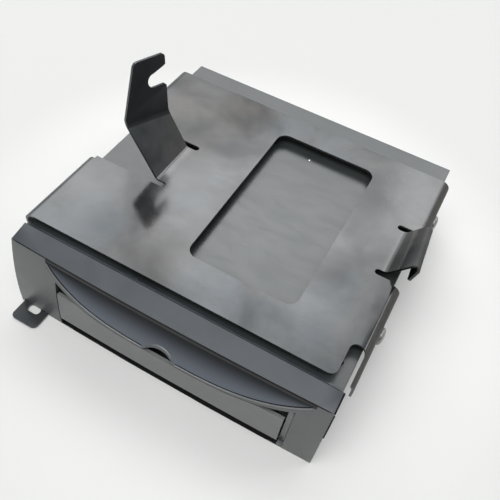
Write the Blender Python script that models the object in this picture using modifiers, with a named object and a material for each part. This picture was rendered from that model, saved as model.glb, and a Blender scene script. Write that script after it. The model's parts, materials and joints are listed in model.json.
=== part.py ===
"""Slot-loading car disc player with a drop-down flap and a raised mounting plate.

Metres, +Z up. The front faces -Y and the origin is the centre of the chassis base.
"""
import math

import bmesh
import bpy
from mathutils import Matrix, Vector

OBJECT_NAME = "car_cd_player"

# Clearances and modelling values
SEAT_GAP = 0.0003
RUN_GAP = 0.0005
OVERRUN = 0.003
ROUND_SIDES = 28
SMALL_SIDES = 16
ARC_STEPS = 5
WELD_GAP = 0.0000001
TURN_WELD_GAP = 0.00001
SMOOTH_DEG = 40

# Chassis
CHASSIS_HEIGHT = 0.0469
CHASSIS_SHEET = 0.001
LID_LIP_DROP = 0.005
WALL_CUT_MARGIN = 0.0045
WALL_CUT_TOP = 0.028
VENT_COUNT = 7
VENT_WIDTH = 0.0025
VENT_HEIGHT = 0.011
VENT_PITCH = 0.006
VENT_OFFSET = -0.048
LID_HOLE_RADIUS = 0.002
LID_HOLE_INSET = 0.0075
LID_HOLE_SETBACK = 0.0145

# Foot tab at the front left of the base
TAB_WIDTH = 0.0167
TAB_INSET = 0.0093
TAB_REACH = 0.0120
TAB_CORNER = 0.003
TAB_SLOT_WIDTH = 0.0045
TAB_SLOT_LENGTH = 0.0075

# Fascia
FASCIA_SIDE_LAP = 0.001
FASCIA_TOP_LAP = 0.0012
FASCIA_TOP_DEPTH = 0.0105
FASCIA_TOP_RISE = 0.0021
FASCIA_REACH = 0.0062
FASCIA_BOW = 0.0015
FASCIA_WALL = 0.002
FASCIA_COLUMNS = 16
FASCIA_ROWS = 8
RIM_DEPTH = 0.0018
RIM_SHEET = 0.0012
RIM_DROP = 0.0006
CLIP_DEPTH = 0.0026
CLIP_SHARES = ((-0.957, 0.125), (-0.289, 0.077), (0.292, 0.068), (0.8625, 0.058))

# Opening for the flap, and the scoop above it
OPENING_SIDE_MARGIN = 0.00815
OPENING_LEFT_INSET = 0.028
OPENING_RIGHT_INSET = 0.0157
OPENING_SAMPLES = 30
SCOOP_LEFT_PAST = 0.007
SCOOP_RIGHT_PAST = 0.0077
SCOOP_TOP_DROP = 0.0021
SCOOP_LIP_HEIGHT = 0.0236
SCOOP_LOW_BACK = 0.0085
SCOOP_LOW_UP = 0.011
SCOOP_HIGH_BACK = 0.0105
SCOOP_HIGH_DOWN = 0.003
SCOOP_LEFT_POWER = 3.85
SCOOP_RIGHT_POWER = 2.8
SCOOP_STATIONS = 26
SCOOP_ARC_POINTS = 9
SCOOP_TIP_SHARE = 0.985
LIP_BAND = 0.0012
LIP_BAND_GROWTH = 0.003
NOTCH_RADIUS = 0.0136
NOTCH_RISE = 0.0028
NOTCH_OFFSET = 0.0014
NOTCH_POINTS = 31

# Flap
FLAP_WALL = 0.0018
FLAP_BEVEL = 0.0008
SILL_HEIGHT = 0.0008
FLAP_END_HEIGHT = 0.027
FLAP_EDGE_GAP = 0.0006
FLAP_COLUMNS = 30
FLAP_ROWS = 6
POST_WIDTH = 0.0029
POST_RECESS = 0.0025
HINGE_RADIUS = 0.002
HINGE_HEIGHT = 0.005
HINGE_SETBACK = 0.0004
PIN_RADIUS = 0.0009
PIN_LENGTH = 0.0085
PIN_CLEARANCE = 0.00025
PIN_BED = 0.0015
SPRING_LENGTH = 0.0045
SPRING_WIRE_RADIUS = 0.00025
SPRING_TURNS = 5
SPRING_TURN_POINTS = 12

# Panel behind the flap, disc slot and buttons
PANEL_SHEET = 0.002
PANEL_TOP_GAP = 0.0012
SLOT_SIDE_MARGIN = 0.002
SLOT_HEIGHT = 0.006
DUST_LIP_THICKNESS = 0.0008
DUST_LIP_HEIGHT = 0.0036
DUST_LIP_GAP = 0.0022
BUTTON_WIDTH = 0.012
BUTTON_HEIGHT = 0.005
BUTTON_STAND = 0.003
BUTTON_HEAD = 0.0045
BUTTON_SIDE_INSET = 0.02215
BUTTON_TRAVEL = 0.0012
BUTTON_STEM_RADIUS = 0.0015
BUTTON_STEM_LENGTH = 0.0022
SWITCH_BODY = 0.006
SWITCH_DEPTH = 0.0016
BOARD_SHEET = 0.0016
BUTTON_BOARD_HEIGHT = 0.009
BOSS_SHARES = (-0.95, -0.6, 0.6, 0.95)
BOARD_BOSS_RADIUS = 0.0018

# Disc path
DISC_DIAMETER = 0.120
DISC_THICKNESS = 0.0012
DISC_FRONT_ROOM = 0.010
DISC_RIM = 0.002

# Deck
DECK_SIDE_GAP = 0.0015
DECK_SHEET = 0.0012
DECK_TABLE_GAP = 0.0024
DECK_FRONT_GAP = 0.003
DECK_REAR_EDGE = 0.011
DAMPER_RADIUS = 0.005
DAMPER_WAIST = 0.0036
DAMPER_SHARES = (0.75, 0.6, 0.4, 0.25)
DAMPER_SIDE_INSET = 0.012
DAMPER_FRONT_INSET = 0.0065
DAMPER_REAR_INSET = 0.022

# Spindle and clamp
MOTOR_RADIUS = 0.011
TURNTABLE_RADIUS = 0.014
TURNTABLE_SHEET = 0.0018
BOSS_RADIUS = 0.0072
BOSS_RISE = 0.0006
BOSS_TOP_SHARE = 0.85
HUB_RADIUS = 0.003
SHAFT_RADIUS = 0.0008
DECK_HOLE_RADIUS = 0.0042
PUCK_RADIUS = 0.012
PUCK_HEIGHT = 0.0028
PUCK_GAP = 0.0003
PUCK_CAP_SHARE = 1.4
ARM_WIDTH = 0.018
ARM_SHEET = 0.0012
ARM_NOSE = 0.010
ARM_HINGE_INSET = 0.006
ARM_BARREL_RADIUS = 0.0022
ARM_WINDOW_WIDTH = 0.008
ARM_WINDOW_LENGTH = 0.026
CLAMP_PIN_RADIUS = 0.001
CHEEK_SHEET = 0.0015
CHEEK_DEPTH = 0.008
CHEEK_TOP_MARGIN = 0.003

# Pickup
SLED_WIDTH = 0.032
SLED_DEPTH = 0.016
SLED_HEIGHT = 0.0068
SLED_REST = 0.030
SLED_INNER = 0.022
ROD_RADIUS = 0.0012
ROD_SPREAD = 0.011
ROD_DROP = 0.0015
SADDLE_WIDTH = 0.0048
SADDLE_DEPTH = 0.0035
LENS_RADIUS = 0.0025
LENS_HEIGHT = 0.0009
SCREW_OFFSET = 0.0195
SCREW_RADIUS = 0.0013
SLED_ARM_DEPTH = 0.005
SLED_MOTOR_RADIUS = 0.0039
SLED_MOTOR_LENGTH = 0.0115
DECK_OPENING_EDGE = 0.002

# Loading train
ROLLER_SETBACK = 0.011
ROLLER_RADIUS = 0.0035
ROLLER_WAIST = 0.003
ROLLER_SIDE_GAP = 0.0055
ROLLER_SHAFT_RADIUS = 0.0012
BRACKET_SIDE_GAP = 0.0015
BRACKET_SHEET = 0.002
BRACKET_HALF = 0.004
GUIDE_LIFT = 0.0035
GUIDE_SHEET = 0.002
GUIDE_DEPTH = 0.014
GUIDE_RELIEF = 0.0011
GEAR_MODULE = 0.0008
GEAR_WIDTH = 0.003
GEAR_MESH_GAP = 0.0001
GEAR_FLOOR_GAP = 0.00082
ROLLER_TEETH = 16
IDLER_TEETH = 20
PINION_TEETH = 10
ADDENDUM_SHARE = 0.85
DEDENDUM_SHARE = 1.15
TOOTH_ROOT_SHARE = 0.27
TOOTH_TIP_SHARE = 0.12
IDLER_RISE = 0.007
LOADING_MOTOR_RADIUS = 0.0055
MOTOR_WALL_GAP = 0.00185
IDLER_PIN_RADIUS = 0.0012

# Electronics at the back
BOARD_DEPTH = 0.015
BOARD_DECK_GAP = 0.0065
BOARD_SIDE_MARGIN = 0.014
BOARD_LEVEL = 0.012
BOARD_POST_RADIUS = 0.0025
SOCKET_WIDTH = 0.040
SOCKET_HEIGHT = 0.013
SOCKET_DEPTH = 0.012
SOCKET_WALL = 0.0015
SOCKET_OFFSET = 0.042
SOCKET_STAND = 0.0008
CHIP_SIZE = 0.011
CHIP_HEIGHT = 0.002
CHIP_OFFSET = -0.030
CAPACITOR_RADIUS = 0.004
CAPACITOR_HEIGHT = 0.011
CAPACITOR_OFFSET = -0.005

# Raised mounting plate
PLATE_SHEET = 0.0012
PLATE_RISE = 0.0063
PLATE_STANDOFF = 0.0028
PLATE_FRONT_SETBACK = 0.0032
PLATE_BACK_MARGIN = 0.0192
PLATE_BEND = 0.005
FLANGE_DROP = 0.0105
LUG_WIDTH = 0.015
WINDOW_LEFT_INSET = 0.0831
WINDOW_RIGHT_INSET = 0.0414
WINDOW_FRONT_INSET = 0.0222
WINDOW_BACK_INSET = 0.0169
WINDOW_CORNER = 0.006
CORNER_CUT_WIDTH = 0.0077
CORNER_CUT_DEPTH = 0.0205
CORNER_CUT_ROUND = 0.0037
FLANGE_STRIP = 0.0024
RELIEF_ROUND = 0.0016
FLANGE_EXTRA_CUT = 0.002

# Ears bent out of the plate
EAR_WIDTH = 0.031
FOLD_BEND = 0.0025
EAR_SLIT = 0.0036
LEFT_EAR_INSET = 0.0439
LEFT_EAR_BEND = 0.0025
LEFT_SLIT_PAST = 0.0056
LEFT_EAR_SETBACK = 0.0570
LEFT_EAR_LEAN_DEG = 59.0
LEFT_EAR_FRONT_LENGTH = 0.0338
LEFT_EAR_BACK_LENGTH = 0.0237
LEFT_EAR_FOLD_DEG = 32.0
LEFT_EAR_TIP_FRONT = 0.0322
LEFT_EAR_TIP_BACK = 0.0374
LEFT_EAR_TAPER = 0.0098
RIGHT_EAR_INSET = 0.0125
RIGHT_EAR_BEND = 0.0045
RIGHT_SLIT_PAST = 0.0036
RIGHT_EAR_SETBACK = 0.0665
RIGHT_EAR_LEAN_DEG = 52.9
RIGHT_EAR_FRONT_LENGTH = 0.0173
RIGHT_EAR_BACK_LENGTH = 0.0134
RIGHT_EAR_FOLD_DEG = -161.0
RIGHT_EAR_TIP_FRONT = 0.0110
RIGHT_EAR_TIP_BACK = 0.0115
HOOK_ROUND = 0.0043
HOOK_RISE = 0.0206
HOOK_REACH = 0.0134
HOOK_FLARE = 0.0014
HOOK_MOUTH_RISE = 0.0026
EAR_CORNER = 0.0024

# Bracket screws and spacers
SCREW_DROP = 0.0192
SCREW_SETBACK = 0.0430
SCREW_BACK_MARGIN = 0.0158
HEAD_RADIUS = 0.0048
HEAD_HEIGHT = 0.0024
HEAD_SHARES = ((0.0, 1.0), (0.55, 0.95), (0.88, 0.6), (1.0, 0.15), (1.0, 0.0))
BOLT_RADIUS = 0.002
BOLT_CLEARANCE = 0.0003
BOLT_INSIDE = 0.0030
SPACER_RADIUS = 0.0042

# Widths and depths worked out from the disc outwards
disc_radius = DISC_DIAMETER / 2
opening_half = disc_radius + OPENING_SIDE_MARGIN
fascia_half = opening_half + (OPENING_LEFT_INSET + OPENING_RIGHT_INSET) / 2
chassis_half = fascia_half - FASCIA_SIDE_LAP
opening_left = -fascia_half + OPENING_LEFT_INSET
opening_right = fascia_half - OPENING_RIGHT_INSET
disc_x = (opening_left + opening_right) / 2
sled_outer = disc_radius - DISC_RIM
deck_reach = sled_outer + SLED_DEPTH / 2 + DECK_REAR_EDGE
board_room = BOARD_DECK_GAP + BOARD_DEPTH + RUN_GAP + CHASSIS_SHEET
chassis_depth = disc_radius + DISC_FRONT_ROOM + deck_reach + board_room
front_y = -chassis_depth / 2
back_y = chassis_depth / 2
spindle_y = front_y + disc_radius + DISC_FRONT_ROOM
button_spread = opening_half - BUTTON_SIDE_INSET

# Heights worked out from the floor upwards
floor_top = CHASSIS_SHEET
pan_top = CHASSIS_HEIGHT - CHASSIS_SHEET - SEAT_GAP
roller_gear_tip = GEAR_MODULE * (ROLLER_TEETH / 2 + ADDENDUM_SHARE)
roller_z = floor_top + GEAR_FLOOR_GAP + roller_gear_tip
disc_low = roller_z + ROLLER_RADIUS
disc_middle = disc_low + DISC_THICKNESS / 2
deck_top = disc_low - TURNTABLE_SHEET - DECK_TABLE_GAP
deck_low = deck_top - DECK_SHEET
rod_level = deck_low - ROD_DROP
arm_level = disc_middle + BOSS_RISE + PUCK_HEIGHT + PUCK_GAP * 2
guide_low = disc_middle + GUIDE_LIFT
button_level = disc_middle + DUST_LIP_GAP / 2 + DUST_LIP_HEIGHT + RUN_GAP + BUTTON_HEIGHT / 2

# Fascia, scoop and flap
fascia_height = CHASSIS_HEIGHT + FASCIA_TOP_LAP
fascia_back = front_y - SEAT_GAP
fascia_top_y = fascia_back - FASCIA_TOP_DEPTH
scoop_left = opening_left - SCOOP_LEFT_PAST
scoop_right = opening_right + SCOOP_RIGHT_PAST
scoop_middle = (scoop_left + scoop_right) / 2
scoop_half = (scoop_right - scoop_left) / 2
scoop_top = fascia_height - SCOOP_TOP_DROP
hinge_y = fascia_top_y - FASCIA_REACH + HINGE_RADIUS + HINGE_SETBACK
panel_back = fascia_back - SEAT_GAP
panel_front = panel_back - PANEL_SHEET
flap_left = opening_left + FLAP_EDGE_GAP
post_left = opening_right - SEAT_GAP - POST_WIDTH
flap_right = post_left - FLAP_EDGE_GAP
tab_x = -chassis_half + TAB_INSET

# Deck, roller, gears and board
roller_y = front_y + ROLLER_SETBACK
deck_front = roller_y + ROLLER_RADIUS + DECK_FRONT_GAP
deck_back = spindle_y + deck_reach
arm_hinge_y = deck_back - ARM_HINGE_INSET
arm_hinge_z = arm_level + ARM_SHEET / 2
bracket_face = disc_radius + BRACKET_SIDE_GAP
deck_half = bracket_face - DECK_SIDE_GAP
gear_left = disc_x + bracket_face + BRACKET_SHEET + RUN_GAP
gear_right = gear_left + GEAR_WIDTH
board_half = chassis_half - BOARD_SIDE_MARGIN

# Mounting plate
plate_top = CHASSIS_HEIGHT + PLATE_RISE
plate_low = plate_top - PLATE_SHEET
plate_half = chassis_half + PLATE_STANDOFF + PLATE_SHEET
plate_front = front_y + PLATE_FRONT_SETBACK
plate_back = back_y - PLATE_BACK_MARGIN
left_ear_line = -plate_half + LEFT_EAR_INSET
left_slit_end = left_ear_line + LEFT_SLIT_PAST
left_ear_front = plate_front + LEFT_EAR_SETBACK
right_ear_line = plate_half - RIGHT_EAR_INSET
right_slit_end = right_ear_line - RIGHT_SLIT_PAST
right_ear_front = plate_front + RIGHT_EAR_SETBACK
screw_level = plate_top - SCREW_DROP
screw_front_y = plate_front + SCREW_SETBACK
screw_back_y = plate_back - SCREW_BACK_MARGIN

parts = None
cutters = None


# Helpers

def make_collection(name):
    group = bpy.data.collections.new(name)
    bpy.context.scene.collection.children.link(group)
    return group


def make_material(name, color, roughness, metallic):
    mat = bpy.data.materials.new(name)
    mat.use_nodes = True
    shader = mat.node_tree.nodes["Principled BSDF"]
    shader.inputs["Base Color"].default_value = (*color, 1.0)
    shader.inputs["Roughness"].default_value = roughness
    shader.inputs["Metallic"].default_value = metallic
    return mat


def add_object(name, mesh, mat=None, location=(0, 0, 0)):
    """Link a mesh as a sub-part, or as a cutter when it has no material."""
    obj = bpy.data.objects.new(name, mesh)
    obj.location = location
    if mat is None:
        cutters.objects.link(obj)
        obj.hide_render = True
        obj.display_type = "WIRE"
    else:
        parts.objects.link(obj)
        obj.data.materials.append(mat)
    return obj


def mesh_from_bmesh(name, bm):
    mesh = bpy.data.meshes.new(name)
    bm.to_mesh(mesh)
    bm.free()
    return mesh


def block(name, low, high, mat=None):
    """A box between two corners, with its origin at its centre."""
    low, high = Vector(low), Vector(high)
    bm = bmesh.new()
    bmesh.ops.create_cube(bm, size=1.0)
    bmesh.ops.scale(bm, vec=high - low, verts=bm.verts)
    return add_object(name, mesh_from_bmesh(name, bm), mat, (low + high) / 2)


def rod(name, radius, start, end, mat=None, sides=ROUND_SIDES):
    """A round bar between two points on one axis, with its origin halfway."""
    start, end = Vector(start), Vector(end)
    bm = bmesh.new()
    bmesh.ops.create_cone(bm, cap_ends=True, segments=sides, radius1=radius,
                          radius2=radius, depth=(end - start).length)
    turn = (end - start).to_track_quat("Z", "Y").to_matrix().to_4x4()
    bmesh.ops.transform(bm, matrix=turn, verts=bm.verts)
    mesh = mesh_from_bmesh(name, bm)
    mesh.shade_smooth()
    mesh.set_sharp_from_angle(angle=math.radians(SMOOTH_DEG))
    return add_object(name, mesh, mat, (start + end) / 2)


def prism(name, rings, axis, low, high, mat=None):
    """A flat outline with holes, given as rings, carried along X, Y or Z from low to high.

    The ring's two values are (y, z) for X, (x, z) for Y and (x, y) for Z.
    """
    curve = bpy.data.curves.new(name, "CURVE")
    curve.dimensions = "2D"
    curve.fill_mode = "BOTH"
    curve.extrude = (high - low) / 2
    for ring in rings:
        spline = curve.splines.new("POLY")
        spline.points.add(len(ring) - 1)
        for point, (u, v) in zip(spline.points, ring):
            point.co = (u, v, 0, 1)
        spline.use_cyclic_u = True
    guide = bpy.data.objects.new(name + "_outline", curve)
    bpy.context.scene.collection.objects.link(guide)
    mesh = mesh_of(guide, name)
    middle = (low + high) / 2
    turn = {
        "X": Matrix(((0, 0, 1, middle), (1, 0, 0, 0), (0, 1, 0, 0), (0, 0, 0, 1))),
        "Y": Matrix(((1, 0, 0, 0), (0, 0, -1, middle), (0, 1, 0, 0), (0, 0, 0, 1))),
        "Z": Matrix.Translation((0, 0, middle)),
    }[axis]
    mesh.transform(turn)
    return add_object(name, mesh, mat)


def mesh_of(guide, name):
    """Turn a curve object into a closed mesh and remove the curve."""
    bpy.context.view_layer.update()
    graph = bpy.context.evaluated_depsgraph_get()
    mesh = bpy.data.meshes.new_from_object(guide.evaluated_get(graph))
    mesh.name = name
    bm = bmesh.new()
    bm.from_mesh(mesh)
    bmesh.ops.remove_doubles(bm, verts=bm.verts, dist=WELD_GAP)
    bmesh.ops.recalc_face_normals(bm, faces=bm.faces)
    bm.to_mesh(mesh)
    bm.free()
    mesh.materials.clear()
    bpy.data.objects.remove(guide)
    return mesh


def loft(name, rings, mat=None):
    """A closed skin over equal rings, with a flat cap at each end."""
    bm = bmesh.new()
    rows = [[bm.verts.new(point) for point in ring] for ring in rings]
    count = len(rings[0])
    for row, following in zip(rows, rows[1:]):
        for i in range(count):
            j = (i + 1) % count
            bm.faces.new((row[i], row[j], following[j], following[i]))
    bm.faces.new(rows[0])
    bm.faces.new(rows[-1])
    bmesh.ops.recalc_face_normals(bm, faces=bm.faces)
    return add_object(name, mesh_from_bmesh(name, bm), mat)


def turned(name, profile, location, mat=None, sides=ROUND_SIDES):
    """A closed turned shape about +Z: profile points (radius, height) run from top to bottom."""
    mesh = bpy.data.meshes.new(name)
    edges = [(i, i + 1) for i in range(len(profile) - 1)]
    mesh.from_pydata([(radius, 0, height) for radius, height in profile], edges, [])
    obj = add_object(name, mesh, mat, location)
    spin = obj.modifiers.new("turn", "SCREW")
    spin.axis = "Z"
    spin.steps = sides
    spin.render_steps = sides
    spin.use_merge_vertices = True
    spin.merge_threshold = TURN_WELD_GAP
    spin.use_smooth_shade = False
    return obj


def boolean(target, tool, operation):
    step = target.modifiers.new(operation.lower() + "_" + tool.name, "BOOLEAN")
    step.operation = operation
    step.solver = "EXACT"
    step.object = tool


def cut(target, *tools):
    for tool in tools:
        boolean(target, tool, "DIFFERENCE")


def join(target, *tools):
    for tool in tools:
        boolean(target, tool, "UNION")


def arc(centre, radius, start_deg, end_deg, steps=ARC_STEPS):
    """Points along a circle's arc, both ends included."""
    points = []
    for i in range(steps + 1):
        angle = math.radians(start_deg + (end_deg - start_deg) * i / steps)
        points.append((centre[0] + radius * math.cos(angle), centre[1] + radius * math.sin(angle)))
    return points


def rounded_box(left, low, right, high, radius):
    """A rectangle's outline with round corners, anticlockwise."""
    return (arc((right - radius, low + radius), radius, -90, 0)
            + arc((right - radius, high - radius), radius, 0, 90)
            + arc((left + radius, high - radius), radius, 90, 180)
            + arc((left + radius, low + radius), radius, 180, 270))


def spread(low, high, count):
    return [low + (high - low) * i / (count - 1) for i in range(count)]


# Shared front surface

def front_surface(x, z):
    """The fascia's front: a parabola down its height, and a slight bow across its width."""
    up_share = z / fascia_height
    across_share = x / fascia_half
    bow = FASCIA_BOW * max(0.0, 1 - across_share ** 2)
    return fascia_top_y - FASCIA_REACH * (1 - up_share ** 2) - bow


def lip_height(x, grow=0.0):
    """The scoop's lower edge: flat in the middle, and steeper at its left end than its right."""
    share = (x - scoop_middle) / (scoop_half + grow)
    power = SCOOP_LEFT_POWER if share < 0 else SCOOP_RIGHT_POWER
    rise = (scoop_top - SCOOP_LIP_HEIGHT) * min(1.0, abs(share)) ** power
    return SCOOP_LIP_HEIGHT + rise


def opening_height(x):
    """The opening's top edge: a thin band below the scoop's lip, wider towards the ends."""
    share = (x - scoop_middle) / (scoop_half)
    return lip_height(x) - LIP_BAND - LIP_BAND_GROWTH * share ** 2


def flap_height(x):
    return min(FLAP_END_HEIGHT, opening_height(x) - FLAP_EDGE_GAP)


# Fascia

def fascia_skin(name, inset, left, right, back, floor, mat=None):
    """The fascia's outer form, or the same form drawn in by a wall, between two sides."""
    rings = []
    for x in spread(left, right, FASCIA_COLUMNS):
        top_front = fascia_height - inset
        top_back = top_front + FASCIA_TOP_RISE
        ring = [Vector((x, back, floor))]
        for z in spread(floor, top_front, FASCIA_ROWS):
            ring.append(Vector((x, front_surface(x, z) + inset, z)))
        ring.append(Vector((x, back, top_back)))
        rings.append(ring)
    return loft(name, rings, mat)


def scoop_form(name, grow):
    """The crescent scoop as a solid, or grown by the wall behind it."""
    rings = []
    reach = (scoop_half + grow) * SCOOP_TIP_SHARE
    full = scoop_top - SCOOP_LIP_HEIGHT
    outside = fascia_top_y - FASCIA_REACH - FASCIA_BOW - OVERRUN
    for x in spread(scoop_middle - reach, scoop_middle + reach, SCOOP_STATIONS):
        low_z = lip_height(x, grow) - grow
        high_z = scoop_top + grow
        size_share = (high_z - low_z) / full
        low = Vector((x, front_surface(x, low_z), low_z))
        high = Vector((x, front_surface(x, high_z), high_z))
        low_handle = low + Vector((0, SCOOP_LOW_BACK, SCOOP_LOW_UP)) * size_share
        high_handle = high + Vector((0, SCOOP_HIGH_BACK, -SCOOP_HIGH_DOWN)) * size_share
        ring = [Vector((x, outside, low_z))]
        for s in spread(0, 1, SCOOP_ARC_POINTS):
            ring.append(low * (1 - s) ** 3 + low_handle * 3 * s * (1 - s) ** 2
                        + high_handle * 3 * s ** 2 * (1 - s) + high * s ** 3)
        ring.append(Vector((x, outside, high_z)))
        rings.append(ring)
    return loft(name, rings)


def opening_outline(floor):
    top = [(x, opening_height(x)) for x in spread(opening_right, opening_left, OPENING_SAMPLES)]
    return [(opening_left, floor), (opening_right, floor)] + top


def build_fascia(mat):
    fascia = fascia_skin("fascia", 0.0, -fascia_half, fascia_half, fascia_back, 0.0, mat)
    wall_back = scoop_form("scoop_wall", FASCIA_WALL)
    inner_side = fascia_half - FASCIA_WALL
    bays = {
        "left_bay": (-inner_side, opening_left - FASCIA_WALL),
        "middle_bay": (opening_left, opening_right),
        "right_bay": (opening_right + FASCIA_WALL, inner_side),
    }
    for name, (left, right) in bays.items():
        bay = fascia_skin(name, FASCIA_WALL, left, right, fascia_back + OVERRUN, FASCIA_WALL)
        cut(bay, wall_back)
        cut(fascia, bay)
    outside = fascia_top_y - FASCIA_REACH - FASCIA_BOW - OVERRUN
    cut(fascia, scoop_form("scoop_cut", 0.0))
    opening = prism("opening_cut", [opening_outline(FASCIA_WALL)], "Y", outside, panel_front)
    under_flap = block("under_flap_cut", (opening_left, outside, SILL_HEIGHT),
                       (post_left, hinge_y + HINGE_RADIUS + RUN_GAP, HINGE_HEIGHT))
    notch_z = SCOOP_LIP_HEIGHT + NOTCH_RISE - NOTCH_RADIUS
    notch_arc = [(NOTCH_OFFSET + NOTCH_RADIUS * math.cos(angle), notch_z + NOTCH_RADIUS * math.sin(angle))
                 for angle in spread(0.0, math.pi, NOTCH_POINTS)]
    notch = prism("notch_cut", [notch_arc], "Y", outside, panel_front)
    bore = PIN_RADIUS + PIN_CLEARANCE
    pin_hole = rod("left_pin_hole", bore, (opening_left - FASCIA_WALL - OVERRUN, hinge_y, HINGE_HEIGHT),
                   (opening_left + OVERRUN, hinge_y, HINGE_HEIGHT), sides=SMALL_SIDES)
    tab_notch = block("tab_notch_cut",
                      (tab_x - TAB_WIDTH / 2 - SEAT_GAP, outside, -OVERRUN),
                      (tab_x + TAB_WIDTH / 2 + SEAT_GAP, fascia_back + OVERRUN,
                       CHASSIS_SHEET + SEAT_GAP))
    cut(fascia, opening, under_flap, notch, pin_hole, tab_notch)
    rim_top = fascia_height + FASCIA_TOP_RISE - RIM_DROP
    rim_low = rim_top - RIM_SHEET
    inside = fascia_back - FASCIA_WALL / 2
    join(fascia, block("fascia_rim", (-inner_side, inside, rim_low),
                       (inner_side, fascia_back + RIM_DEPTH, rim_top)))
    for i, (middle_share, width_share) in enumerate(CLIP_SHARES):
        middle = middle_share * inner_side
        half = width_share * inner_side / 2
        join(fascia, block("fascia_clip_" + str(i), (middle - half, inside, CHASSIS_HEIGHT + SEAT_GAP),
                           (middle + half, fascia_back + CLIP_DEPTH, rim_top - RIM_DROP)))
    return fascia


# Flap and its hinge

def build_flap(mat):
    """The flap: a skin that follows the fascia's front, with a thick root on a round hinge barrel."""
    rings = []
    for x in spread(flap_left, flap_right, FLAP_COLUMNS):
        heights = spread(HINGE_HEIGHT + FLAP_BEVEL, flap_height(x), FLAP_ROWS)
        outer = [Vector((x, front_surface(x, HINGE_HEIGHT) + FLAP_BEVEL, HINGE_HEIGHT))]
        outer += [Vector((x, front_surface(x, z), z)) for z in heights]
        inner = [Vector((x, front_surface(x, z) + FLAP_WALL, z)) for z in reversed(heights[1:])]
        root = [Vector((x, hinge_y, HINGE_HEIGHT + HINGE_RADIUS / 2)),
                Vector((x, hinge_y, HINGE_HEIGHT - HINGE_RADIUS / 4))]
        rings.append(outer + inner + root)
    flap = loft("flap_door", rings, mat)
    spring_room = PIN_RADIUS + PIN_CLEARANCE + 2 * SPRING_WIRE_RADIUS + SEAT_GAP
    cut(flap, block("spring_notch_cut", (flap_left - OVERRUN, hinge_y - spring_room, HINGE_HEIGHT - OVERRUN),
                    (flap_left + SPRING_LENGTH, hinge_y + OVERRUN, HINGE_HEIGHT + HINGE_RADIUS)))
    barrel = rod("flap_barrel", HINGE_RADIUS, (flap_left + SPRING_LENGTH, hinge_y, HINGE_HEIGHT),
                 (flap_right, hinge_y, HINGE_HEIGHT), sides=SMALL_SIDES)
    join(flap, barrel)
    bore = PIN_RADIUS + PIN_CLEARANCE
    for side, start, end in (("left", flap_left - OVERRUN, flap_left + PIN_LENGTH + SEAT_GAP),
                             ("right", flap_right - PIN_LENGTH / 2, flap_right + OVERRUN)):
        hole = rod("flap_" + side + "_bore", bore, (start, hinge_y, HINGE_HEIGHT),
                   (end, hinge_y, HINGE_HEIGHT), sides=SMALL_SIDES)
        cut(flap, hole)
    return flap


def build_hinge_pins(mat):
    left_start = opening_left - FASCIA_WALL
    rod("hinge_pin_left", PIN_RADIUS, (left_start, hinge_y, HINGE_HEIGHT),
        (flap_left + PIN_LENGTH, hinge_y, HINGE_HEIGHT), mat, SMALL_SIDES)
    rod("hinge_pin_right", PIN_RADIUS, (flap_right - PIN_LENGTH / 2 + SEAT_GAP, hinge_y, HINGE_HEIGHT),
        (post_left + PIN_BED, hinge_y, HINGE_HEIGHT), mat, SMALL_SIDES)


def build_flap_spring(mat):
    """A torsion coil round the left pin, beside the barrel."""
    coil_radius = PIN_RADIUS + PIN_CLEARANCE + SPRING_WIRE_RADIUS
    start = opening_left + SPRING_WIRE_RADIUS + PIN_CLEARANCE
    end = flap_left + SPRING_LENGTH - SPRING_WIRE_RADIUS - PIN_CLEARANCE
    steps = SPRING_TURNS * SPRING_TURN_POINTS
    curve = bpy.data.curves.new("flap_spring", "CURVE")
    curve.dimensions = "3D"
    curve.bevel_depth = SPRING_WIRE_RADIUS
    curve.bevel_resolution = 1
    curve.use_fill_caps = True
    spline = curve.splines.new("POLY")
    spline.points.add(steps)
    for i, point in enumerate(spline.points):
        angle = 2 * math.pi * i / SPRING_TURN_POINTS
        x = start + (end - start) * i / steps
        point.co = (x, hinge_y + coil_radius * math.cos(angle),
                    HINGE_HEIGHT + coil_radius * math.sin(angle), 1)
    guide = bpy.data.objects.new("flap_spring_path", curve)
    bpy.context.scene.collection.objects.link(guide)
    add_object("flap_spring", mesh_of(guide, "flap_spring"), mat)


# Inner front panel, dust lips and buttons

def button_centre(side):
    return disc_x + side * button_spread


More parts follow.
